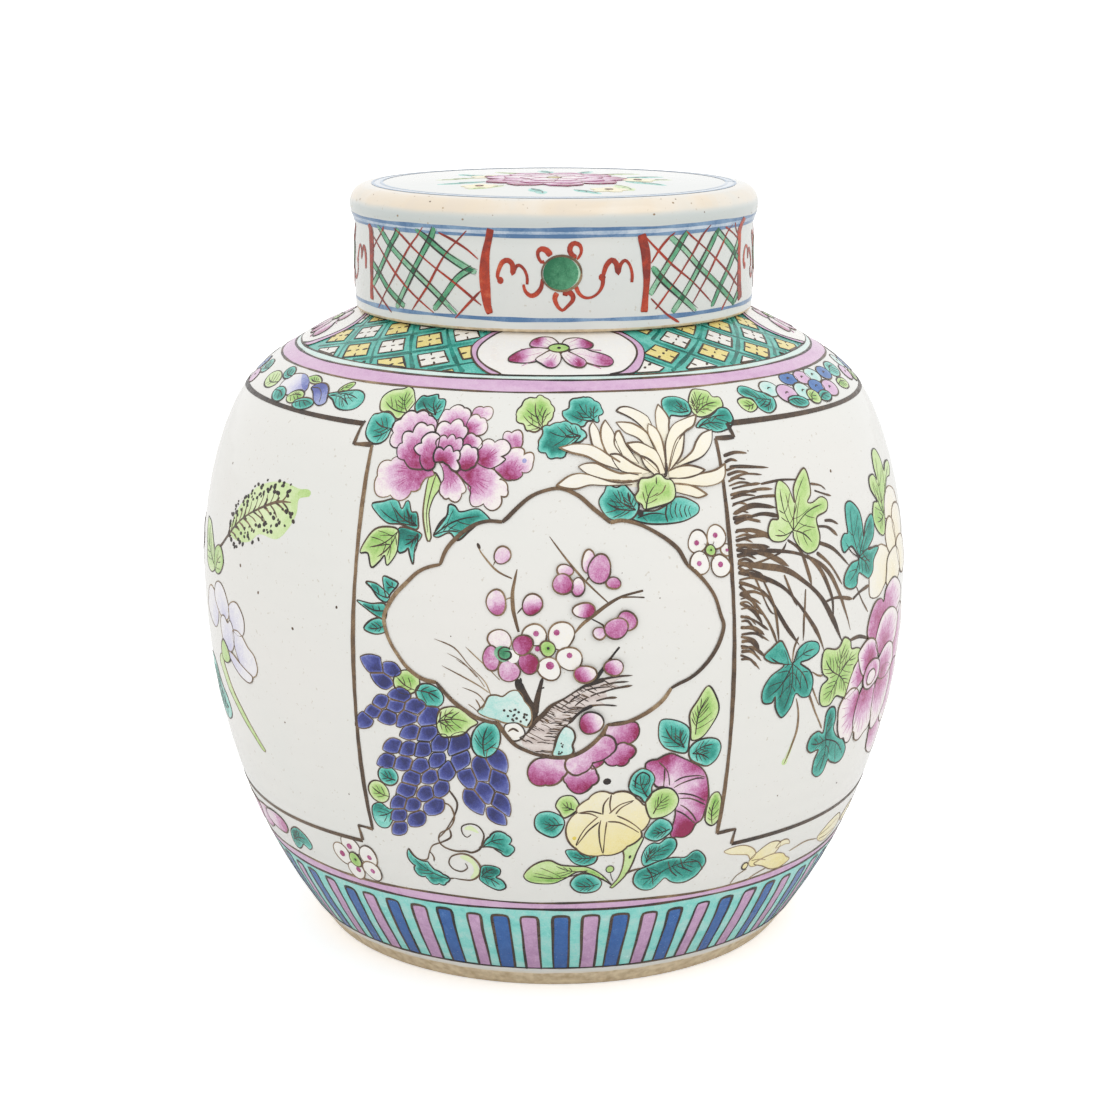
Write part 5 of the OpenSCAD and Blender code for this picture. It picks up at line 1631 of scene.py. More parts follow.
def plume(name, at, flip=False):
    """The dotted plume and pale lily of the left panel."""
    m = Motif(name + "_plume", jar_surface, "jar", at, flip=flip)
    m.fill("lime", smooth([(-111.5, 133.5), (-110, 139), (-105, 144.5), (-98, 149.5), (-88, 152),
            (-80, 151.3), (-75.3, 151.2), (-75, 149.8), (-79, 148.5), (-79, 144.5), (-81.5, 140),
            (-86, 136.5), (-94, 136.5), (-99, 133.5), (-106, 132.3)], True), 0,
            glow((-94, 143), 17, -0.1, 0.3), grain=2.0)
    m.fill("lime", oval((-77.3, 150.4), 2.6, 1.1, 10), 1, 0.45)
    rib = smooth([(-124, 126), (-118, 128.5), (-113, 132.5), (-105, 138.7), (-96, 143.3), (-88, 146.4),
            (-82, 147.2)], step=1.0)
    m.line(rib, 0.7, 2, 0.5, ends=(0.6, 0.3), raw=True)
    hand = random.Random(name)
    first, last = 14, len(rib) - 3
    for k in range(first, last, 3):
        way = rib[k + 2] - rib[k - 2]
        way /= np.linalg.norm(way)
        side = np.array([-way[1], way[0]])
        t = (k - first) / (last - first)
        for sign in (1, -1):
            out = 3.0 + (2.6 if sign > 0 else 4.6) * math.sin(math.pi * min(1, 0.12 + 0.85 * t)) ** 0.8
            tip = rib[k] + way * out * hand.uniform(0.6, 1.1) + side * sign * out * hand.uniform(0.85, 1.1)
            short = rib[k] + (tip - rib[k]) * hand.uniform(0.45, 0.75)
            m.line([rib[k], (rib[k] + short) / 2 + way * 0.5, short], hand.uniform(0.35, 0.6), 2, 0.5,
                    ends=(0.8, 0.1))
            if k % 2 == first % 2:
                m.line([rib[k], rib[k] + way * 2 + side * sign * 1.1], 0.6, 3, 0.7, ends=(0.7, 0.2))
            for part in (0.5, 0.68, 0.82, 0.96, 1.1):
                x, y = rib[k] + (tip - rib[k]) * part + (hand.uniform(-0.8, 0.8), hand.uniform(-0.8, 0.8))
                m.dot("outline", (x, y), hand.uniform(0.28, 0.62), 3, 0.95, oval=1.35,
                        lean=hand.uniform(-0.6, 1.2))
    m.build()

    m = Motif(name + "_lily", jar_surface, "jar", at, flip=flip)
    leaf(m, "lime", [(-137, 132), (-134, 133), (-131, 132.5), (-127, 129.5), (-124, 126), (-122, 121.5),
            (-127, 119), (-133, 121)], (-124, 122), [(-134.5, 131)], 0, 3, deep=0.6, pale=0.1)
    leaf(m, "lime", [(-123.5, 126), (-120, 128.3), (-117, 127.7), (-115, 124.5), (-116.5, 121.5),
            (-119.5, 120), (-123, 121)], (-122, 120.5), [(-116.8, 126)], 2, 2, deep=0.3, pale=0.6)
    for level, points, base in (
        (0, [(-134, 106), (-133, 111), (-129, 114.5), (-124, 114.5), (-120, 111), (-121, 106), (-126, 103)],
                (-121, 105)),
        (2, [(-123, 112.5), (-122, 116.5), (-118.5, 118), (-114.5, 117), (-111.3, 114), (-110.5, 111),
                (-112, 108.5), (-116, 108), (-120, 109.5)], (-115, 107)),
        (2, [(-110.8, 112), (-108, 114.5), (-104.5, 114.8), (-101.5, 112.5), (-100.5, 109.5),
                (-101.5, 106.5), (-105, 105.5), (-109, 107)], (-110, 106)),
        (4, [(-118.5, 104), (-117.5, 108), (-114.5, 109), (-112, 107.5), (-110, 108.7), (-108, 106.5),
                (-108.5, 101.5), (-112, 99), (-116, 100)], (-112, 100)),
        (3, [(-109, 105), (-106, 106.8), (-102.5, 106), (-99.5, 103.5), (-95.8, 101.5), (-94.8, 98),
                (-97, 95.3), (-102, 95), (-106, 98)], (-108, 99)),
        (6, [(-114, 98.7), (-110.5, 99), (-106, 97.5), (-102, 96.3), (-98, 95), (-100, 92.8), (-105, 93.3),
                (-110, 95.5)], (-111, 97.5)),
    ):
        m.shape("lilac", points, level, glow(base, 9, 0.5, -0.02), 0.3, 0.3, grain=1.3)
    m.shape("lime", [(-119.5, 99), (-117, 101.5), (-113.5, 99.5), (-112.8, 96.5), (-116, 94.8),
            (-120, 95.5)], 7, 0.45, 0.45, 0.6)
    m.shape("lime", [(-121, 96), (-117, 90), (-112, 85), (-106, 80), (-100, 74.5), (-98, 72.8),
            (-99.5, 72.3), (-104, 75.5), (-111, 80.5), (-118, 86), (-124, 93)], 1,
            fade((-121, 95), (-99, 73), 0.2, 0.5), 0.3, 0.25)
    leaf(m, "teal", [(-121, 78), (-122.5, 82), (-127, 85), (-132, 90), (-139, 92), (-146, 89), (-150, 83),
            (-143, 78), (-135, 75.5), (-127, 74.5)], (-124, 79), [(-146, 86), (-138, 78), (-136, 90)], 0, 3,
            deep=0.4, pale=0.1)
    m.build()


def specks(name, places):
    """Small brown iron spots, given as (x, y, radius), that came through the glaze in the kiln."""
    m = Motif(name, jar_surface, "jar")
    hand = random.Random(name)
    for x, y, radius in places:
        m.dot("outline", (x, y), radius, 0, 0.45 + 0.4 * hand.random(), oval=1.2, lean=hand.uniform(0, 3))
    m.build()


# ---------------------------------------------------------------- sprays above and below the panels


def disc(m, paint, centre, rx, ry, level, deep=0.7, pale=0.2):
    """A petal disc with a dark eye."""
    m.shape(paint, oval(centre, rx, ry), level, glow(centre, rx, deep, pale), 0.42, 0.75, grain=1.2)
    m.line(np.array(centre) + [(-0.9, -0.1), (0, 0.45), (1.0, 0.2)], 0.5, level + 2, 0.8)


def disc_spray(name, at, flip=False):
    """Overlapping coloured discs and leaves above a panel."""
    m = Motif(name, jar_surface, "jar", at, flip=flip)
    leaf(m, "lime", [(63.5, 178.5), (66, 179.5), (69.5, 178.5), (70, 175.8), (66.5, 174.6), (64, 176)],
            (69.5, 177), [(64.5, 177)], 0, 2)
    leaf(m, "teal", [(66, 181.5), (68, 183.4), (71, 183), (74, 181), (77.5, 179.5), (79, 177.5),
            (77.5, 174.8), (73.5, 173.5), (70.5, 175.3), (70, 178.5), (67.5, 179.5)], (77.5, 177.5),
            [(68, 181.5), (72, 175.5)], 2, 3)
    for paint, centre, rx, ry, level, deep, pale in (
        ("turquoise", (80.3, 181), 4.2, 2.9, 2, 0.3, 0.0), ("blue", (94.2, 183), 4.8, 2.4, 0, 0.6, 0.15),
        ("mauve", (102.5, 182.3), 4.6, 2.6, 1, 0.5, 0.05), ("mauve", (86.8, 178.4), 4.7, 3.2, 4, 0.6, 0.1),
        ("turquoise", (95.8, 178), 4.3, 3.0, 4, 0.3, 0.0),
        ("turquoise", (110.3, 182), 4.6, 2.8, 1, 0.3, 0.0), ("blue", (105.5, 178.2), 4.4, 2.6, 4, 0.5, 0.2),
        ("blue", (119.8, 181.3), 4.8, 2.6, 3, 0.6, 0.15),
        ("mauve", (113.5, 176.5), 5.0, 2.8, 4, 0.55, 0.05), ("mauve", (142, 177.5), 4.8, 2.8, 3, 0.5, 0.1),
        ("turquoise", (149.5, 181), 4.6, 2.8, 1, 0.3, 0.0), ("blue", (157, 178.3), 4.6, 2.8, 2, 0.6, 0.2),
    ):
        disc(m, paint, centre, rx, ry, level, deep, pale)
    leaf(m, "teal", oval((89.5, 175.2), 4.8, 1.9, -8), (85, 176), [(93.5, 174.5)], 6, 3)
    leaf(m, "lime", oval((99.2, 175.6), 3.3, 2.4, 0), (96.5, 174.5), [(101.5, 177)], 6, 2)
    leaf(m, "teal", oval((106, 174.8), 3.9, 1.8, 0), (102.5, 174.5), [(109.5, 175)], 6, 2)
    leaf(m, "teal", oval((130.5, 181), 6.2, 2.9, 4), (125, 180.5), [(136, 181.5)], 1, 3, deep=0.5, pale=0.1)
    leaf(m, "lime", oval((127, 176), 4.8, 2.0, -4), (122.5, 176.3), [(131, 175.5)], 2, 3)
    leaf(m, "lime", oval((150, 175), 4.0, 2.0, 6), (146, 174.8), [(153.5, 175.4)], 3, 2)
    m.build()


def berry_spray(name, at, flip=False):
    """Berries and leaves above a panel."""
    m = Motif(name, jar_surface, "jar", at, flip=flip)
    leaf(m, "lime", oval((-77.6, 181.9), 3.0, 1.6, 38), (-79.5, 180.3), [(-75.8, 183.3)], 0, 2)
    leaf(m, "teal", [(-83.5, 178.5), (-79, 180), (-72, 181.5), (-68, 180.5), (-66.5, 178), (-68, 175.5),
            (-72, 174.5), (-76, 175), (-79.5, 177)], (-82, 178.3), [(-68.5, 178.3), (-71, 175.8)], 1, 4,
            deep=0.2, pale=0.3)
    leaf(m, "lime", [(-101, 182), (-98.5, 183.8), (-94.5, 183.6), (-91.5, 182), (-95, 180.8)], (-92.5, 182),
            [(-99, 182.6)], 0, 3)
    m.shape("lilac", [(-113.5, 178), (-112, 181.5), (-108, 183), (-103, 183), (-98, 181), (-95.5, 178.5),
            (-98, 176.2), (-104, 175.3), (-110, 175.6)], 1, glow((-97.5, 180), 11, 1.0, 0.0), 0.42)
    m.shape("indigo", [(-99, 181.8), (-103, 183), (-106, 182.9), (-102, 180.3), (-98, 178.5),
            (-95.7, 178.6), (-97, 180.5)], 3, fade((-97, 180), (-106, 183), 0.35, 0.0), 0.0)
    m.shape("indigo", [(-94, 179.6), (-91.5, 181.6), (-88, 181.7), (-85, 180.3), (-83, 178), (-81.7, 175.8),
            (-84, 174.5), (-87.5, 175.5), (-91, 178)], 3, glow((-90, 180.8), 9, 0.6, 0.0), 0.45)
    m.line([(-93.5, 179.5), (-90, 179.8), (-86.5, 178.2), (-84.5, 175.5)], 0.3, 5, 0.8)
    leaf(m, "teal", oval((-115.5, 182), 4.2, 2.2, -12), (-111.5, 181.2), [(-118.8, 182.8)], 3, 2)
    leaf(m, "teal", oval((-109, 174.9), 4.6, 2.3, -8), (-113, 175.6), [(-105.5, 174.3)], 5, 2)
    leaf(m, "lime", oval((-98.5, 175.6), 4.3, 2.2, 8), (-102, 175), [(-95, 176.2)], 4, 3)
    leaf(m, "teal", oval((-92, 174.1), 5.2, 1.9, 6), (-97, 173.5), [(-88, 174.7)], 6, 3)
    leaf(m, "lime", oval((-123, 178.2), 6.3, 3.0, -3), (-117, 178), [(-128, 178.5)], 1, 3, deep=0.35,
            pale=0.15)
    leaf(m, "teal", oval((-143, 180), 5.6, 2.6, -3), (-138, 179.8), [(-147.5, 180.3)], 1, 3)
    disc(m, "mauve", (-147.5, 175.3), 6.0, 2.4, 3)
    disc(m, "blue", (-155.5, 179), 4.6, 2.8, 2)
    m.build()


def orchid(m):
    m.shape("yellow", [(53.5, 51), (57, 51.8), (61, 51.5), (65, 49.5), (67, 47), (65.5, 45.5), (63.5, 47.5),
            (60, 48.5), (56, 49.5)], 0, 0.25, 0.32, 0.15)
    m.shape("yellow", [(65, 45), (68, 48), (72, 49.8), (76, 49.3), (77.5, 47.5), (76, 45), (72, 43),
            (67, 42.5)], 1, glow((66, 44), 11, 0.5, 0.15), 0.32, 0.2)
    m.shape("yellow", [(67.5, 43.6), (74, 45), (80, 44), (83, 42), (86, 40), (82, 38.3), (77, 39),
            (72, 41.5)], 3, glow((69, 43.5), 15, 0.35, 0.6), 0.35, 0.25)
    m.shape("yellow", [(75.5, 47), (77.5, 49), (80.5, 48.7), (82.3, 46.8), (80, 47.2), (78, 47)], 2, 0.2,
            0.28, 0.1)
    m.dot("yellow", (63.7, 43.6), 1.2, 3, 0.5, 0.45)
    for points in ([(65, 42.2), (61.5, 40.5), (60, 37.9)], [(75, 40.2), (70, 38.9), (66.5, 37.2)],
            [(84, 43.5), (92, 44.5), (100, 43)], [(66, 45), (69.5, 44.6), (72.5, 43.6)]):
        m.line(points, 0.3, 4, 0.15)


def pale_spray(name, at, flip=False):
    """Pale yellow orchid-like flowers below a panel."""
    m = Motif(name, jar_surface, "jar", at, flip=flip)
    orchid(m)
    m.shape("yellow", [(101, 43), (104, 45.5), (108, 47.2), (113, 47.8), (117, 46), (118.5, 43),
            (116, 40.5), (110, 39.3), (105, 40.5)], 0, glow((104, 43), 13, 0.4, 0.1), 0.32, 0.2)
    for points in ([(102, 43.5), (109, 44.5), (115, 45.5)], [(103, 42), (109, 41.5), (115, 42)]):
        m.line(points, 0.25, 2, 0.2)
    m.shape("yellow", [(120, 44), (124, 47), (129, 47.5), (131, 45), (127, 42.5), (123, 42)], 0, 0.3, 0.32,
            0.2)
    leaf(m, "lime", [(133, 44), (137, 47.5), (142, 48), (146, 45.5), (142, 42.5), (137, 41.8)], (134, 44.3),
            [(144.5, 45.3)], 0, 3)
    m.build()


def pink_spray(name, at, flip=False):
    """Pink petals, a leaf and a plum blossom below a panel."""
    m = Motif(name + "_petals", jar_surface, "jar", at, flip=flip)
    for points, base, level in (
        ([(-100.5, 46.5), (-101.5, 49), (-105, 50), (-110, 50), (-115, 48.8), (-117, 46), (-113, 44),
                (-107, 43.5), (-103, 44)], (-113, 48), 4),
        ([(-112, 49), (-118, 49.5), (-125, 48), (-129, 45), (-126, 41.8), (-120, 41), (-114, 43.5)],
                (-124, 47), 2),
        ([(-124, 47.5), (-130, 48.8), (-137, 48), (-141, 45), (-138, 41.5), (-131, 40.5), (-126, 42.5)],
                (-135, 47), 4),
        ([(-136, 48), (-143, 49.5), (-149, 48), (-151, 44.5), (-147, 41.5), (-141, 41.5)], (-147, 47), 2),
    ):
        petal(m, points, base, 0.1, 0.7, level)
    leaf(m, "teal", [(-100, 41), (-99.5, 45), (-97, 47.5), (-93, 48.8), (-89, 47), (-87.5, 44), (-90, 42),
            (-93, 43), (-95, 41.5), (-98, 40)], (-98.5, 43), [(-90, 45.5), (-93, 47.5)], 1, 3)
    m.build()
    m = Motif(name + "_blossom", jar_surface, "jar", at, flip=flip)
    plum_blossom(m, (-66.3, 45.2), 2.4, [(-66.8, 49.8, 3.5), (-71.7, 46, 3.6), (-67.6, 40.9, 3.3),
            (-60.3, 47.7, 3.5), (-60.4, 42.5, 3.4)], [(-67.2, 49.6, 0.95), (-71.6, 46, 1.0),
            (-66.5, 41.5, 0.95), (-59.9, 47.4, 0.85), (-60.2, 42.5, 0.9)])
    m.build()


# ---------------------------------------------------------------- the shoulder


def clip(points, low, high):
    """A convex outline cut to the strip between two heights."""
    for limit, sign in ((low, 1), (high, -1)):
        kept = []
        for a, b in zip(points, points[1:] + points[:1]):
            da, db = sign * (a[1] - limit), sign * (b[1] - limit)
            if da >= 0:
                kept.append(a)
            if da * db < 0:
                t = da / (da - db)
                kept.append((a[0] + (b[0] - a[0]) * t, a[1] + (b[1] - a[1]) * t))
        points = kept
        if len(points) < 3:
            return []
    return points


def along(points, step):
    """Points added to straight sides, for a field that follows the curve of the jar."""
    out = []
    for a, b in zip(points, points[1:] + points[:1]):
        a, b = np.array(a), np.array(b)
        n = max(1, int(np.linalg.norm(b - a) / step))
        out += [a + (b - a) * k / n for k in range(n)]
    return np.array(out)


def diaper(name, origin, across, down, odd, start, end):
    """Lattice of teal bands with yellow and white lozenges, between two places on the shoulder."""
    m = Motif(name, jar_surface, "jar")
    low, high = 192.3, 211.2
    origin, across, down = (np.array(v, float) for v in (origin, across, down))
    hand = random.Random(name)
    for i in range(-12, 13):
        for j in range(-12, 13):
            centre = origin + i * across + j * down
            if not (low - 4 < centre[1] < high + 4 and start - 3 < centre[0] < end + 3):
                continue
            # the dark stripes in the middle of two of the bands beside this lozenge
            for way, turn in ((across, down), (down, across)):
                a, b = centre + (turn - way) / 2, centre + (turn + way) / 2
                cut = clip([tuple(a), tuple(b), tuple(b + (0.01, 0.01))], low, high)
                if cut:
                    m.line([cut[0], (np.array(cut[0]) + cut[1]) / 2, cut[1]], hand.uniform(0.8, 1.5), 1.5,
                            hand.uniform(0.75, 1.0), paint="teal", ends=(0.9, 0.9))
            corners = [tuple(centre + across * a + down * b + (hand.uniform(-0.4, 0.4),
                    hand.uniform(-0.25, 0.25))) for a, b in ((-0.33, -0.32), (0.33, -0.32), (0.33, 0.32),
                    (-0.33, 0.32))]
            cut = clip(corners, low, high)
            if not cut:
                continue
            paint, tone = (("yellow", 0.72), ("cream", 0.12))[(i + j + odd) % 2]
            edge = along(cut, 1.6)
            m.fill(paint, edge, 3, tone)
            m.loop(edge, 0.6, 5, 0.85, raw=True)
            # four ticks that run in from the lozenge's sides, and one across its middle
            for a, b, a_end, b_end in ((-0.31, 0, -0.1705, 0), (0.31, 0, 0.1705, 0), (0, -0.31, 0, -0.1705),
                    (0, 0.31, 0, 0.1705), (0.07, 0, -0.0315, 0)):
                foot = centre + across * a + down * b
                if low + 0.6 < foot[1] < high - 0.6:
                    m.line([foot, centre + across * a_end + down * b_end], 0.8, 5, 0.7)
    m.build()


RESERVE_FLOWER = [
    (6, [(-1.5, 204), (-6, 203.9), (-10, 204.3), (-11, 205.6), (-9.8, 207.5), (-7, 208.7), (-4, 209),
            (-1, 208.6), (1, 207.3), (2, 205.5)], (-8.5, 207.8), 0.95),
    (8, [(-2, 203), (-6, 203.8), (-11, 203.5), (-15, 202.2), (-18, 200), (-18.7, 198.6), (-17.8, 197.4),
            (-14, 196.9), (-10, 197), (-5, 198.3), (-2, 200.5)], (-17.2, 199.2), 1.0),
    (6, [(3.5, 205.3), (5, 207.5), (8, 208.4), (12, 208.4), (15, 207.4), (17.4, 206), (17.6, 204.8),
            (16, 203.6), (12, 203), (8, 203), (5, 203.5)], (16.3, 205.4), 1.0),
    (8, [(6, 201.5), (9, 203.3), (13, 203.5), (16, 202.2), (20, 201), (23, 199.5), (24, 197.8),
            (23.3, 196.2), (21, 195.2), (17, 195.5), (13, 197), (9.5, 199)], (21.5, 197.5), 0.8),
    (10, [(3, 201), (4.3, 198), (6, 196.3), (8.5, 195.1), (11, 195), (12.7, 196.4), (12.5, 198.2),
            (10, 200), (7, 201.7), (5, 202.5)], (9.8, 196.8), 0.98),
    (10, [(-7.5, 198.5), (-5, 196.5), (-2.5, 195), (0, 194.9), (1.9, 196.4), (2.9, 198.6), (2.7, 201),
            (1.5, 202.2), (-1.5, 202.6), (-4.5, 201)], (-1.5, 195.8), 0.7),
]


def reserve(name, at):
    """An oval white window in the diaper, with a five-petalled flower."""
    m = Motif(name, jar_surface, "jar", at)
    outer = [(-21, 191.9), (-24.5, 192.2), (-29, 194.5), (-33, 197.5), (-36, 201), (-37.2, 204),
            (-36, 206.8), (-33, 209.5), (-29.5, 211.3), (-20, 211.4), (0, 211.4), (20, 211.4), (32, 211.3),
            (36, 209.5), (39, 206.5), (40, 203.5), (39, 200.5), (36, 196.5), (32, 193), (27, 191.9),
            (10, 191.9), (-8, 191.9)]
    inner = [(-20, 192.2), (-26, 194.8), (-31, 198), (-33.3, 201), (-33.6, 204), (-32, 207), (-29, 209.8),
            (-26, 211.3), (-10, 211.35), (10, 211.35), (28, 211.3), (32.5, 209.5), (36, 206), (36.6, 203),
            (35, 199.7), (31, 196), (26, 193), (21, 192.1), (5, 191.95), (-8, 191.95)]
    m.shape("mauve", outer, 6, 0.45, 0.6, 0.85, grain=2.0)
    m.fill("cream", smooth(inner, True, 1.0), 8, 0.0, grain=2.0)
    m.line(inner[:8], 0.75, 9.6, 0.8)
    m.line(inner[10:18], 0.75, 9.6, 0.8)
    m.move(at, level=6)
    heart = np.array((2.0, 203.5))
    for level, points, deep_at, depth in RESERVE_FLOWER:
        petal(m, points, deep_at, depth, 0.02, level, span=0.62, line=0.5, ink=0.75)
        way = np.array(points).mean(0) - heart
        for k in (-1, 0, 1):
            side = np.array([-way[1], way[0]]) * 0.16 * k
            m.line([heart + way * 0.55 + side, heart + way + side * 1.5, heart + way * 1.22 + side * 1.8],
                    0.2, level + 1.4, 0.5, paint="rose")
    m.shape("lime", oval((2.1, 203.6), 4.6, 1.9), 12, 0.55, 0.6, 0.85)
    m.dot("outline", (2.2, 203.6), 0.5, 14, 0.9, oval=1.8)
    m.build()


def shoulder():
    m = Motif("shoulder_bands", jar_surface, "jar")
    first, second, third, top = (round_points(y, 0.15, k * 1.7) for k,
            y in enumerate((185.2, 189.9, 191.8, 211.4)))
    ring_band(m, "mauve", first, second, 0.4)
    ring_line(m, first, 0.6, 3, 0.55)
    ring_line(m, second, 0.6, 3, 0.8)
    ring_band(m, "turquoise", second + (0, 0.5), third, 0.0, 0.2)
    ring_band(m, "teal", third + (0, 0.2), top, 0.38)
    ring_line(m, third, 0.5, 3, 0.8)
    m.build()
    for side, x in (("front", 0), ("right", SIDE), ("back", 2 * SIDE), ("left", 3 * SIDE - TURN)):
        reserve(side + "_reserve", (x, 0))
    diaper("diaper_front_right", (72, 198), (11.8, 5.7), (12.8, -7.6), 0, 38, 128)
    diaper("diaper_front_left", (-77, 200.8), (16.3, 4.4), (9.3, -8), 1, -128, -34)
    diaper("diaper_back_right", (72 + SIDE + 2, 200), (12.8, 5.5), (11.7, -7.2), 0, 38 + SIDE, 128 + SIDE)
    diaper("diaper_back_left", (-77 - SIDE - 2, 200.5), (15, 5.5), (10.4, -7), 1, -128 - SIDE, -34 - SIDE)


# ---------------------------------------------------------------- the lid


class Top(Surface):
    """The lid's flat top, drawn on as seen from above: x to the right and y to the back, from its centre."""

    def place(self, x, y, lift):
        x, y, lift = (np.asarray(v, float) for v in (x, y, lift))
        r = np.hypot(x, y)
        crown = lid_crown[::-1]
        return wrap(r, np.interp(r, crown[:, 0], crown[:, 1]) + lift, np.arctan2(x, -y))


lid_top = Top(LID_OUTSIDE, LID_R)


def lid_ring(m, y, width, tone, level, wave, seed):
    """A cobalt line painted right round the lid."""
    n = 240
    x = np.arange(n + 1) / n * LID_TURN - LID_TURN / 2
    a = x / LID_R
    points = np.stack([x, y + wave * np.sin(2 * a + seed) + wave * 0.4 * np.sin(9 * a)], 1)
    press = 0.2 * np.sin(8 * a + seed) + 0.12 * np.sin(23 * a)
    ink = tone + 0.15 * np.sin(5 * a + seed) + 0.12 * np.sin(31 * a)
    ring_stroke(m, "cobalt", points, width / 2 * (1 + press), ink, level, 0.02)


def iron_bar(m, points, width):
    m.line(points, width, 3, 0.72, ends=(0.85, 0.8), paint="iron", press=0.22)


def green_bands(m, bands):
    """Green bands with dark edges, darker again where two of them cross."""
    paths = [smooth(points, step=0.5) for points in bands]
    for path in paths:
        green_band(m, path)
    for k, one in enumerate(paths):
        for other in paths[k + 1:]:
            apart = np.linalg.norm(one[:, None] - other[None], axis=2)
            i, j = np.unravel_index(np.argmin(apart), apart.shape)
            if apart[i, j] < 0.5:
                a = one[min(i + 1, len(one) - 1)] - one[i - 1]
                b = other[min(j + 1, len(other) - 1)] - other[j - 1]
                a, b = a / np.linalg.norm(a), b / np.linalg.norm(b)
                m.fill("green", one[i] + np.array([a + b, a - b, -a - b, b - a]) * 0.8, 2.2, 1.1)


def green_band(m, points):
    width = 1.7
    p = points[::2]
    m.line(p, width, 1.5, 0.42, ends=(0.55, 0.4), paint="green", raw=True, press=0.3)
    for sign in (1, -1):
        m.line(beside(p, sign * width * 0.46)[1:], 0.36, 3, 0.9, raw=True, ends=(0.2, 0.2), press=0.5)


def lattice(m, red_lines, bands):
    """Thin red lines under green bands."""
    for points in red_lines:
        m.line(points, 0.6, 2, 0.85, ends=(0.5, 0.4), paint="iron")
    green_bands(m, bands)


def front_right_lattice(m, stretch):
    """The lattice to the right of a bead panel, stretched away from the red bar where it starts."""
    bar_x = 25.3
    stretched = lambda lines: [[(bar_x + (x - bar_x) * stretch, y) for x, y in points] for points in lines]
    red_lines = ([(24.5, 25), (29, 20.5), (34, 16), (41, 11), (48.5, 5)],
            [(38.5, 25), (50, 17), (63.6, 7.4)], [(55, 25), (60, 22.9), (63.6, 20.8)],
            [(27, 7.5), (32, 3), (36.5, 0.3)], [(27, 17), (30, 21), (34.5, 25)], [(28.5, 4.5), (42, 20),
            (47.5, 26.3)], [(41, 5), (50, 16), (59, 25.5)], [(54, 2), (60, 8.7), (64, 13)],
            [(60, 25.8), (63.7, 22)])
    bands = ([(27.3, 16), (31, 12), (37, 7.2), (42.7, 3)], [(33, 24), (38, 20), (43.5, 15), (52, 9),
            (60.5, 3.5)], [(51, 24.5), (58, 19.5), (64, 14.6)], [(26.7, 8.5), (30, 13.5), (36, 21),
            (39, 25)], [(34, 3.2), (38, 8), (43.5, 15), (52, 24.5)], [(49, 3.5), (53, 9), (60, 16.5),
            (63.8, 20.8)], [(60.5, 2.9), (63.9, 6.6)])
    lattice(m, stretched(red_lines), stretched(bands))


def front_left_lattice(m):
    red_lines = ([(-62.2, 21.8), (-59, 20), (-46, 10), (-35, 3)], [(-50, 25), (-38, 17.5), (-28.5, 12),
            (-20, 6)], [(-33, 25), (-28, 22.8), (-24, 20.7), (-20.8, 18.3)], [(-62.3, 8.4), (-57, 5),
            (-52, 1.5)], [(-59, 2), (-50, 12), (-44, 20), (-38, 26.3)], [(-43, 3), (-37, 10), (-31, 19),
            (-24, 26)], [(-28, 2), (-20, 10)], [(-62.3, 17.4), (-60, 20), (-55, 25)])
    lattice(m, red_lines, ([(-58.5, 25), (-52, 20), (-42, 14), (-36, 10), (-32, 7), (-27.5, 3.2)],
            [(-41, 25.3), (-36, 22.3), (-30, 18.7), (-24, 15.7), (-21.3, 14.8)], [(-62.2, 14.7), (-58, 12),
            (-53, 8), (-46, 3.8)], [(-62.3, 7.7), (-58, 12), (-52, 20), (-48, 25)], [(-49.5, 3), (-44, 11),
            (-42, 14), (-38, 20), (-34, 26.3)], [(-35, 3.8), (-32, 7), (-27, 13), (-22.3, 16)]))


def scroll(m, strokes):
    for points, width in strokes:
        m.line(points, width, 2, 0.68, ends=(0.75, 0.75), paint="iron", press=0.3)


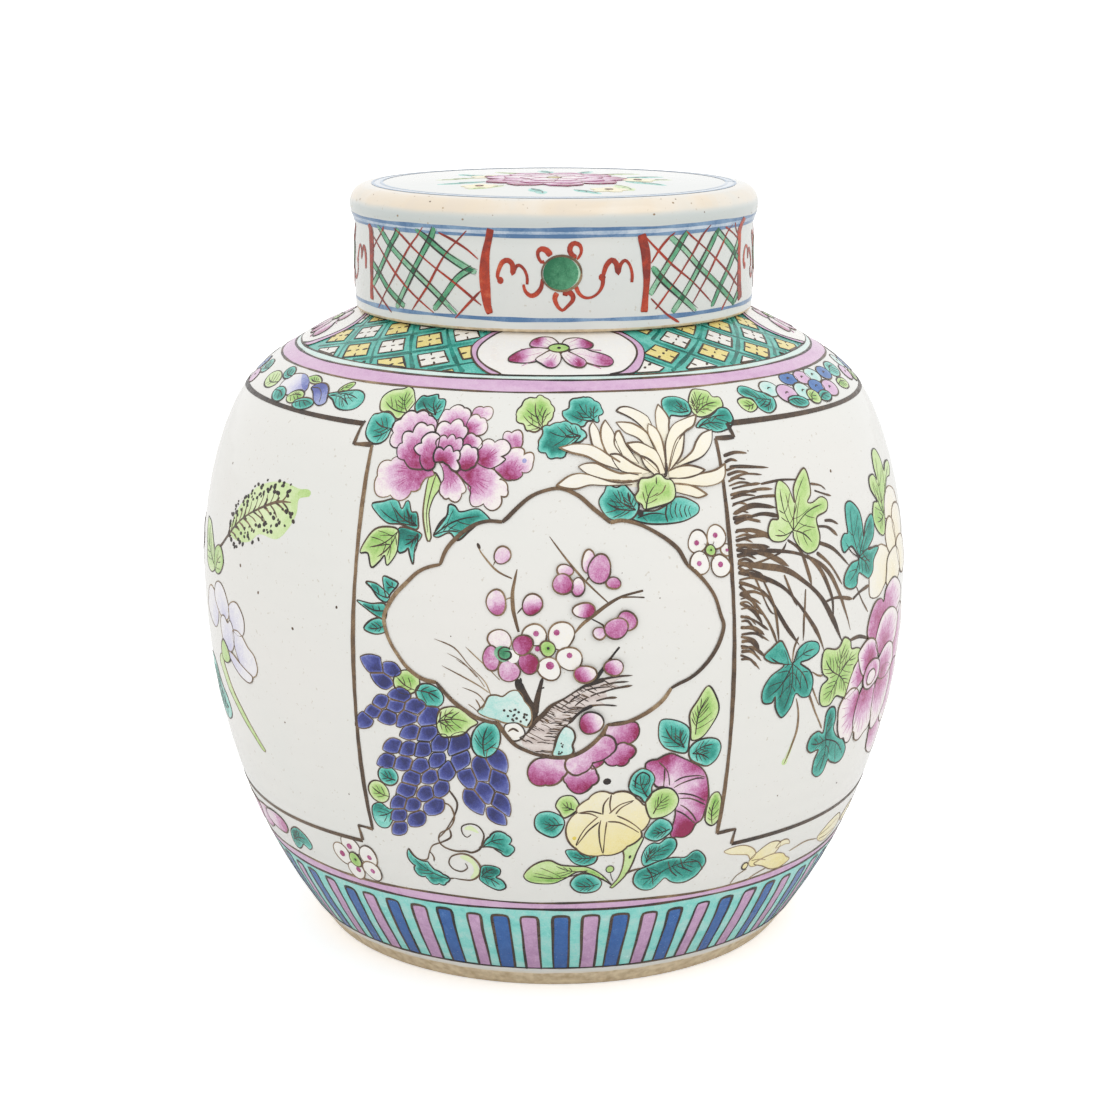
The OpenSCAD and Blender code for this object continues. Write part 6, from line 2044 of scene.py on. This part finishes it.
def bead_panel(name, at):
    """A white panel of the lid's wall: an oval green bead with red ribbon scrolls."""
    m = Motif(name, lid_surface, "lid", (at, 0))
    iron_bar(m, [(-17, 26.8), (-18.5, 21), (-19, 15.5), (-18.7, 10), (-18.2, 6), (-17.5, 3.8)], 2.5)
    iron_bar(m, [(24, 25), (25.3, 20), (25.6, 13), (25.3, 8), (25, 3.9)], 2.3)
    m.shape("green", oval((1.8, 15), 4.7, 4.5), 3, fade((-3, 18), (6.5, 12.5), 1.15, 0.62), 0.0)
    m.fill("green", smooth([(5.2, 12.5), (6.3, 15), (5.3, 17.8), (7, 16.3), (7.4, 14.5), (6.6, 12.6)],
            True), 2, 0.0)
    m.loop(oval((2.0, 15), 5.3, 4.7, n=16), 0.55, 5, 0.4)
    for points, width in (
        ([(-2.6, 18.2), (-3.4, 18), (-4.2, 19.3), (-4.3, 20.7), (-3.4, 21.5), (-2, 21.1), (-0.9, 19.7)],
                1.3),
        ([(6, 19.3), (4.9, 19.8), (4.2, 21), (4.5, 22.4), (5.6, 23), (6.9, 22.4), (7.3, 21), (6.9, 19.7),
                (6.1, 18.7)], 1.1),
        ([(0.8, 9.8), (0.2, 8.3), (0.9, 6.3), (2.2, 5.1), (3.4, 6), (5, 7.8), (4.9, 9.2), (3.4, 10.3),
                (2.9, 9)], 1.3),
    ):
        m.line(points, width, 2, 0.68, ends=(0.7, 0.7), paint="iron", press=0.35)
    m.dot("iron", (-14.5, 12.9), 1.0, 2, 0.55, oval=0.9)
    scroll(m, (([(-14.6, 12.6), (-15.3, 14), (-14.8, 16.2), (-13.8, 17.9), (-12.4, 18.3), (-11.2, 17.2),
            (-11.1, 14.8), (-10.4, 16.4), (-9.4, 17.1), (-8, 16), (-7.2, 14), (-7.2, 12)], 1.1),
            ([(-8.2, 12), (-7.7, 10.2), (-6.3, 9), (-4.7, 9.5), (-3.4, 11.3), (-3.1, 13.6)], 1.0)))
    m.dot("iron", (12.9, 13.8), 1.0, 2, 0.75, oval=1.0)
    scroll(m, (([(5.8, 11.5), (6.6, 9.7), (8.1, 8.5), (10, 8.5), (11.8, 9.6), (13, 11.7), (13.1, 14.5)],
            1.0), ([(13.1, 14), (14, 16.8), (15.5, 18.3), (16.8, 17.4), (17.3, 14.8), (18, 17),
            (19.3, 18.1), (20.6, 16.9), (21.3, 14.5), (21.2, 12.2)], 1.15)))
    m.build()


def lid_wall_painting():
    m = Motif("lid_rings", lid_surface, "lid")
    for y, width, tone, level, wave, seed in ((26.7, 1.0, 0.85, 1, 0.15, 1.0),
            (25.6, 1.9, 0.2, 0, 0.15, 1.5), (24.8, 1.0, 0.9, 1, 0.1, 2.0), (2.4, 1.05, 0.85, 1, 0.15, 3.0)):
        lid_ring(m, y, width, tone, level, wave, seed)
    m.build()
    # the bead panels stand a little unevenly round the lid; two stretched lattices take up the rest
    for side, at, stretch in (("front", 0, 1.0), ("right", 82.8, 1.34), ("back", 178.9, 1.34),
            ("left", -88, 0)):
        bead_panel(side + "_bead_panel", at)
        m = Motif(side + "_lattice", lid_surface, "lid", (at if stretch else 0, 0))
        if stretch:
            front_right_lattice(m, stretch)
        else:
            front_left_lattice(m)
        m.build()


def lid_top_painting():
    m = Motif("lid_top_rings", lid_top, "lid")
    for radius, width, tone, level in ((51.0, 2.6, 0.0, 0), (49.8, 0.8, 0.35, 1.5), (52.3, 0.9, 0.5, 1.5)):
        a = np.linspace(0, 2 * math.pi, 200, endpoint=False)
        r = radius + 0.15 * np.sin(3 * a)
        circle = np.stack([r * np.cos(a), r * np.sin(a)], 1)
        m.loop(circle, width, level, tone, "cobalt", raw=True, press=0.15)
    m.build()

    m = Motif("lid_top_spray", lid_top, "lid", (0, -3))
    hand = random.Random("spray")
    for angle, radius, size, paint in (
            (15, 27, 1.0, "teal"), (42, 25, 1.1, "lime"), (68, 25, 0.9, "teal"), (95, 26, 1.0, "teal"),
            (122, 25, 1.0, "lime"), (150, 27, 1.1, "teal"), (176, 28, 0.9, "lime"), (203, 28, 1.1, "teal"),
            (232, 30, 1.0, "lime"), (262, 34, 1.0, "teal"), (284, 36, 0.9, "teal"), (308, 31, 1.1, "lime"),
            (335, 28, 1.1, "teal"), (358, 29, 0.8, "lime")):
        a = math.radians(angle)
        m.move((radius * math.cos(a), radius * math.sin(a) - 3), a + hand.uniform(-0.5, 0.5), size)
        leaf(m, paint, [(-6, 0), (-4, 1.6), (-1.5, 2.2), (1, 1.6), (2.5, 2.3), (5, 1.4), (7, 0), (5, -1.2),
                (2, -1.2), (0, -2), (-3, -1.7)], (-5.6, 0), [(6, 0)], 0, 2, line=0, deep=0.55, pale=0.0)
    for x, y in ((-19, 4), (24, -6), (15, -33), (-21, -24)):
        m.move((x, y), hand.uniform(0, 3), 1.0)
        for k in range(5):
            a = math.radians(72 * k)
            m.shape("yellow", oval((3.0 * math.cos(a), 3.0 * math.sin(a)), 2.5, 2.1, 72 * k, 10), 3,
                    glow((0, 0), 5.5, 0.6, 0.1), 0)
        m.dot("rose", (0, 0), 1.1, 5, 0.9, 0.3)
    m.move((0, -5))
    for ring, (count, radius, rx, ry, deep, level) in enumerate((
            (9, 14.5, 6.6, 5.6, 1.1, 4), (8, 9.8, 5.8, 5.0, 0.7, 7), (6, 5.2, 4.6, 3.9, 0.3, 10))):
        for k in range(count):
            a = 2 * math.pi * (k + 0.5 * ring) / count + hand.uniform(-0.1, 0.1)
            c, s = math.cos(a), math.sin(a)
            local = np.array([(-rx, 0), (-rx * 0.55, ry * 0.75), (0, ry), (rx * 0.6, ry * 0.8),
                    (rx * 0.85, ry * 0.3), (rx, 0), (rx * 0.85, -ry * 0.35), (rx * 0.6, -ry * 0.8),
                    (0, -ry), (-rx * 0.55, -ry * 0.75)])
            turned = local @ rotation(a) + (radius * c, radius * s)
            # the petals on the left and at the back are paler, except in the innermost ring
            degrees = math.degrees(a) % 360
            shaded = ring == 2 or degrees > 200 or degrees < 60
            petal(m, turned, ((radius + rx) * c, (radius + rx) * s), deep if shaded else deep * 0.6, -0.1,
                    level + (k % 2), span=0.95, line=0)
            m.loop(smooth(turned, True, 0.45), 0.32, level + (k % 2) + 1.6, 0.9, "rose", raw=True)
    m.dot("yellow", (0, 0), 2.1, 13, 0.9, 0.4)
    m.build()

    m = Motif("lid_specks", lid_surface, "lid")
    hand = random.Random("lid specks")
    for k in range(60):
        m.dot("outline", (hand.uniform(-180, 180), hand.uniform(27.5, 36)), hand.uniform(0.1, 0.3), 0,
                hand.uniform(0.0, 0.5), oval=1.2)
    m.build()


# ---------------------------------------------------------------- everything painted on the jar

lower_band()
panel_lines("right_panel_frame", (SIDE - 3, 0))
panel_lines("left_panel_frame", (-SIDE - 3.4, 0))
front_field("front", (0, 0))
grass("right_grass", (0, 0))
creeper("right_creeper", (0, 0))
side_peony("right_peony", (0, 0))
plume("left", (0, 0))
disc_spray("right_discs", (0, 0))
berry_spray("left_berries", (0, 0))
pale_spray("right_orchids", (0, 0))
pink_spray("left_pink", (0, 0))

# the far side repeats the front field, and the far half of each panel mirrors its near half
front_field("back", (BACK, 0))
FAR_RIGHT, FAR_LEFT = (2 * SIDE - 6, 0), (-2 * SIDE - 6.8, 0)
grass("far_right_grass", FAR_RIGHT, True)
creeper("far_right_creeper", FAR_RIGHT, True)
disc_spray("far_right_discs", FAR_RIGHT, True)
pale_spray("far_right_orchids", FAR_RIGHT, True)
plume("far_left", FAR_LEFT, True)
side_peony("far_right_peony", FAR_RIGHT, True)
peony("left_middle_peony", (-SIDE + 21.4, -7), 0.8)
berry_spray("far_left_berries", FAR_LEFT, True)
pink_spray("far_left_pink", FAR_LEFT, True)

JAR_SPECKS = [(-103, 126, 0.45), (-92.5, 120.5, 0.4), (-77, 113.5, 0.4), (-61, 122, 0.35),
        (91.5, 154.5, 0.4), (-62, 68, 0.2), (-84, 85, 0.25), (69.5, 66, 0.2), (8, 177, 0.15),
        (-27, 118, 0.15), (28, 128, 0.15), (100, 62, 0.25), (-120, 152, 0.3), (18, 135, 0.12),
        (60, 164, 0.2)]
specks("jar_specks", JAR_SPECKS)
shoulder()
lid_wall_painting()
lid_top_painting()


# ---------------------------------------------------------------- stage


def light(name, kind, where, aim, power, size):
    data = bpy.data.lights.new(name, kind)
    data.energy = power
    data.size = size
    made = bpy.data.objects.new(name, data)
    made.location = where
    made.rotation_euler = (Vector(aim) - Vector(where)).to_track_quat("-Z", "Y").to_euler()
    bpy.context.scene.collection.objects.link(made)


def stage():
    scene = bpy.context.scene
    scene.view_settings.view_transform = "Standard"
    scene.view_settings.look = "None"
    world = bpy.data.worlds.new("studio")
    world.use_nodes = True
    world.node_tree.nodes["Background"].inputs["Color"].default_value = (1, 1, 1, 1)
    world.node_tree.nodes["Background"].inputs["Strength"].default_value = 1.02
    scene.world = world
    far = 60.0
    floor_mesh = bpy.data.meshes.new("floor")
    floor_mesh.from_pydata([(-far, -far, 0), (far, -far, 0), (far, far, 0), (-far, far, 0)], [],
            [(0, 1, 2, 3)])
    m, tree, shader = node_material("pale_floor", 0.6)
    shader.inputs["Base Color"].default_value = (0.88, 0.875, 0.865, 1)
    shader.inputs["Emission Color"].default_value = (1, 1, 1, 1)
    seen = add_node(tree, "ShaderNodeLightPath").outputs["Is Camera Ray"]
    tree.links.new(calc(tree, "MULTIPLY", seen, 0.47), shader.inputs["Emission Strength"])
    floor_mesh.materials.append(m)
    floor = bpy.data.objects.new("floor", floor_mesh)
    scene.collection.objects.link(floor)
    light("key", "AREA", (0.9, -0.9, 1.5), (0, 0, 0.1), 3.0, 1.2)


def camera():
    """The camera stands 0.69 m in front of the jar's axis and looks a little down on it."""
    distance, height = 0.691, 0.2764
    down, sideways = math.radians(13.59), math.radians(0.11)
    data = bpy.data.cameras.new("camera")
    data.sensor_width = 36.0
    data.lens = 77.7
    made = bpy.data.objects.new("camera", data)
    made.location = (0.0, -distance, height)
    made.rotation_euler = (math.pi / 2 - down, 0, sideways)
    bpy.context.scene.collection.objects.link(made)
    bpy.context.scene.camera = made


stage()
camera()
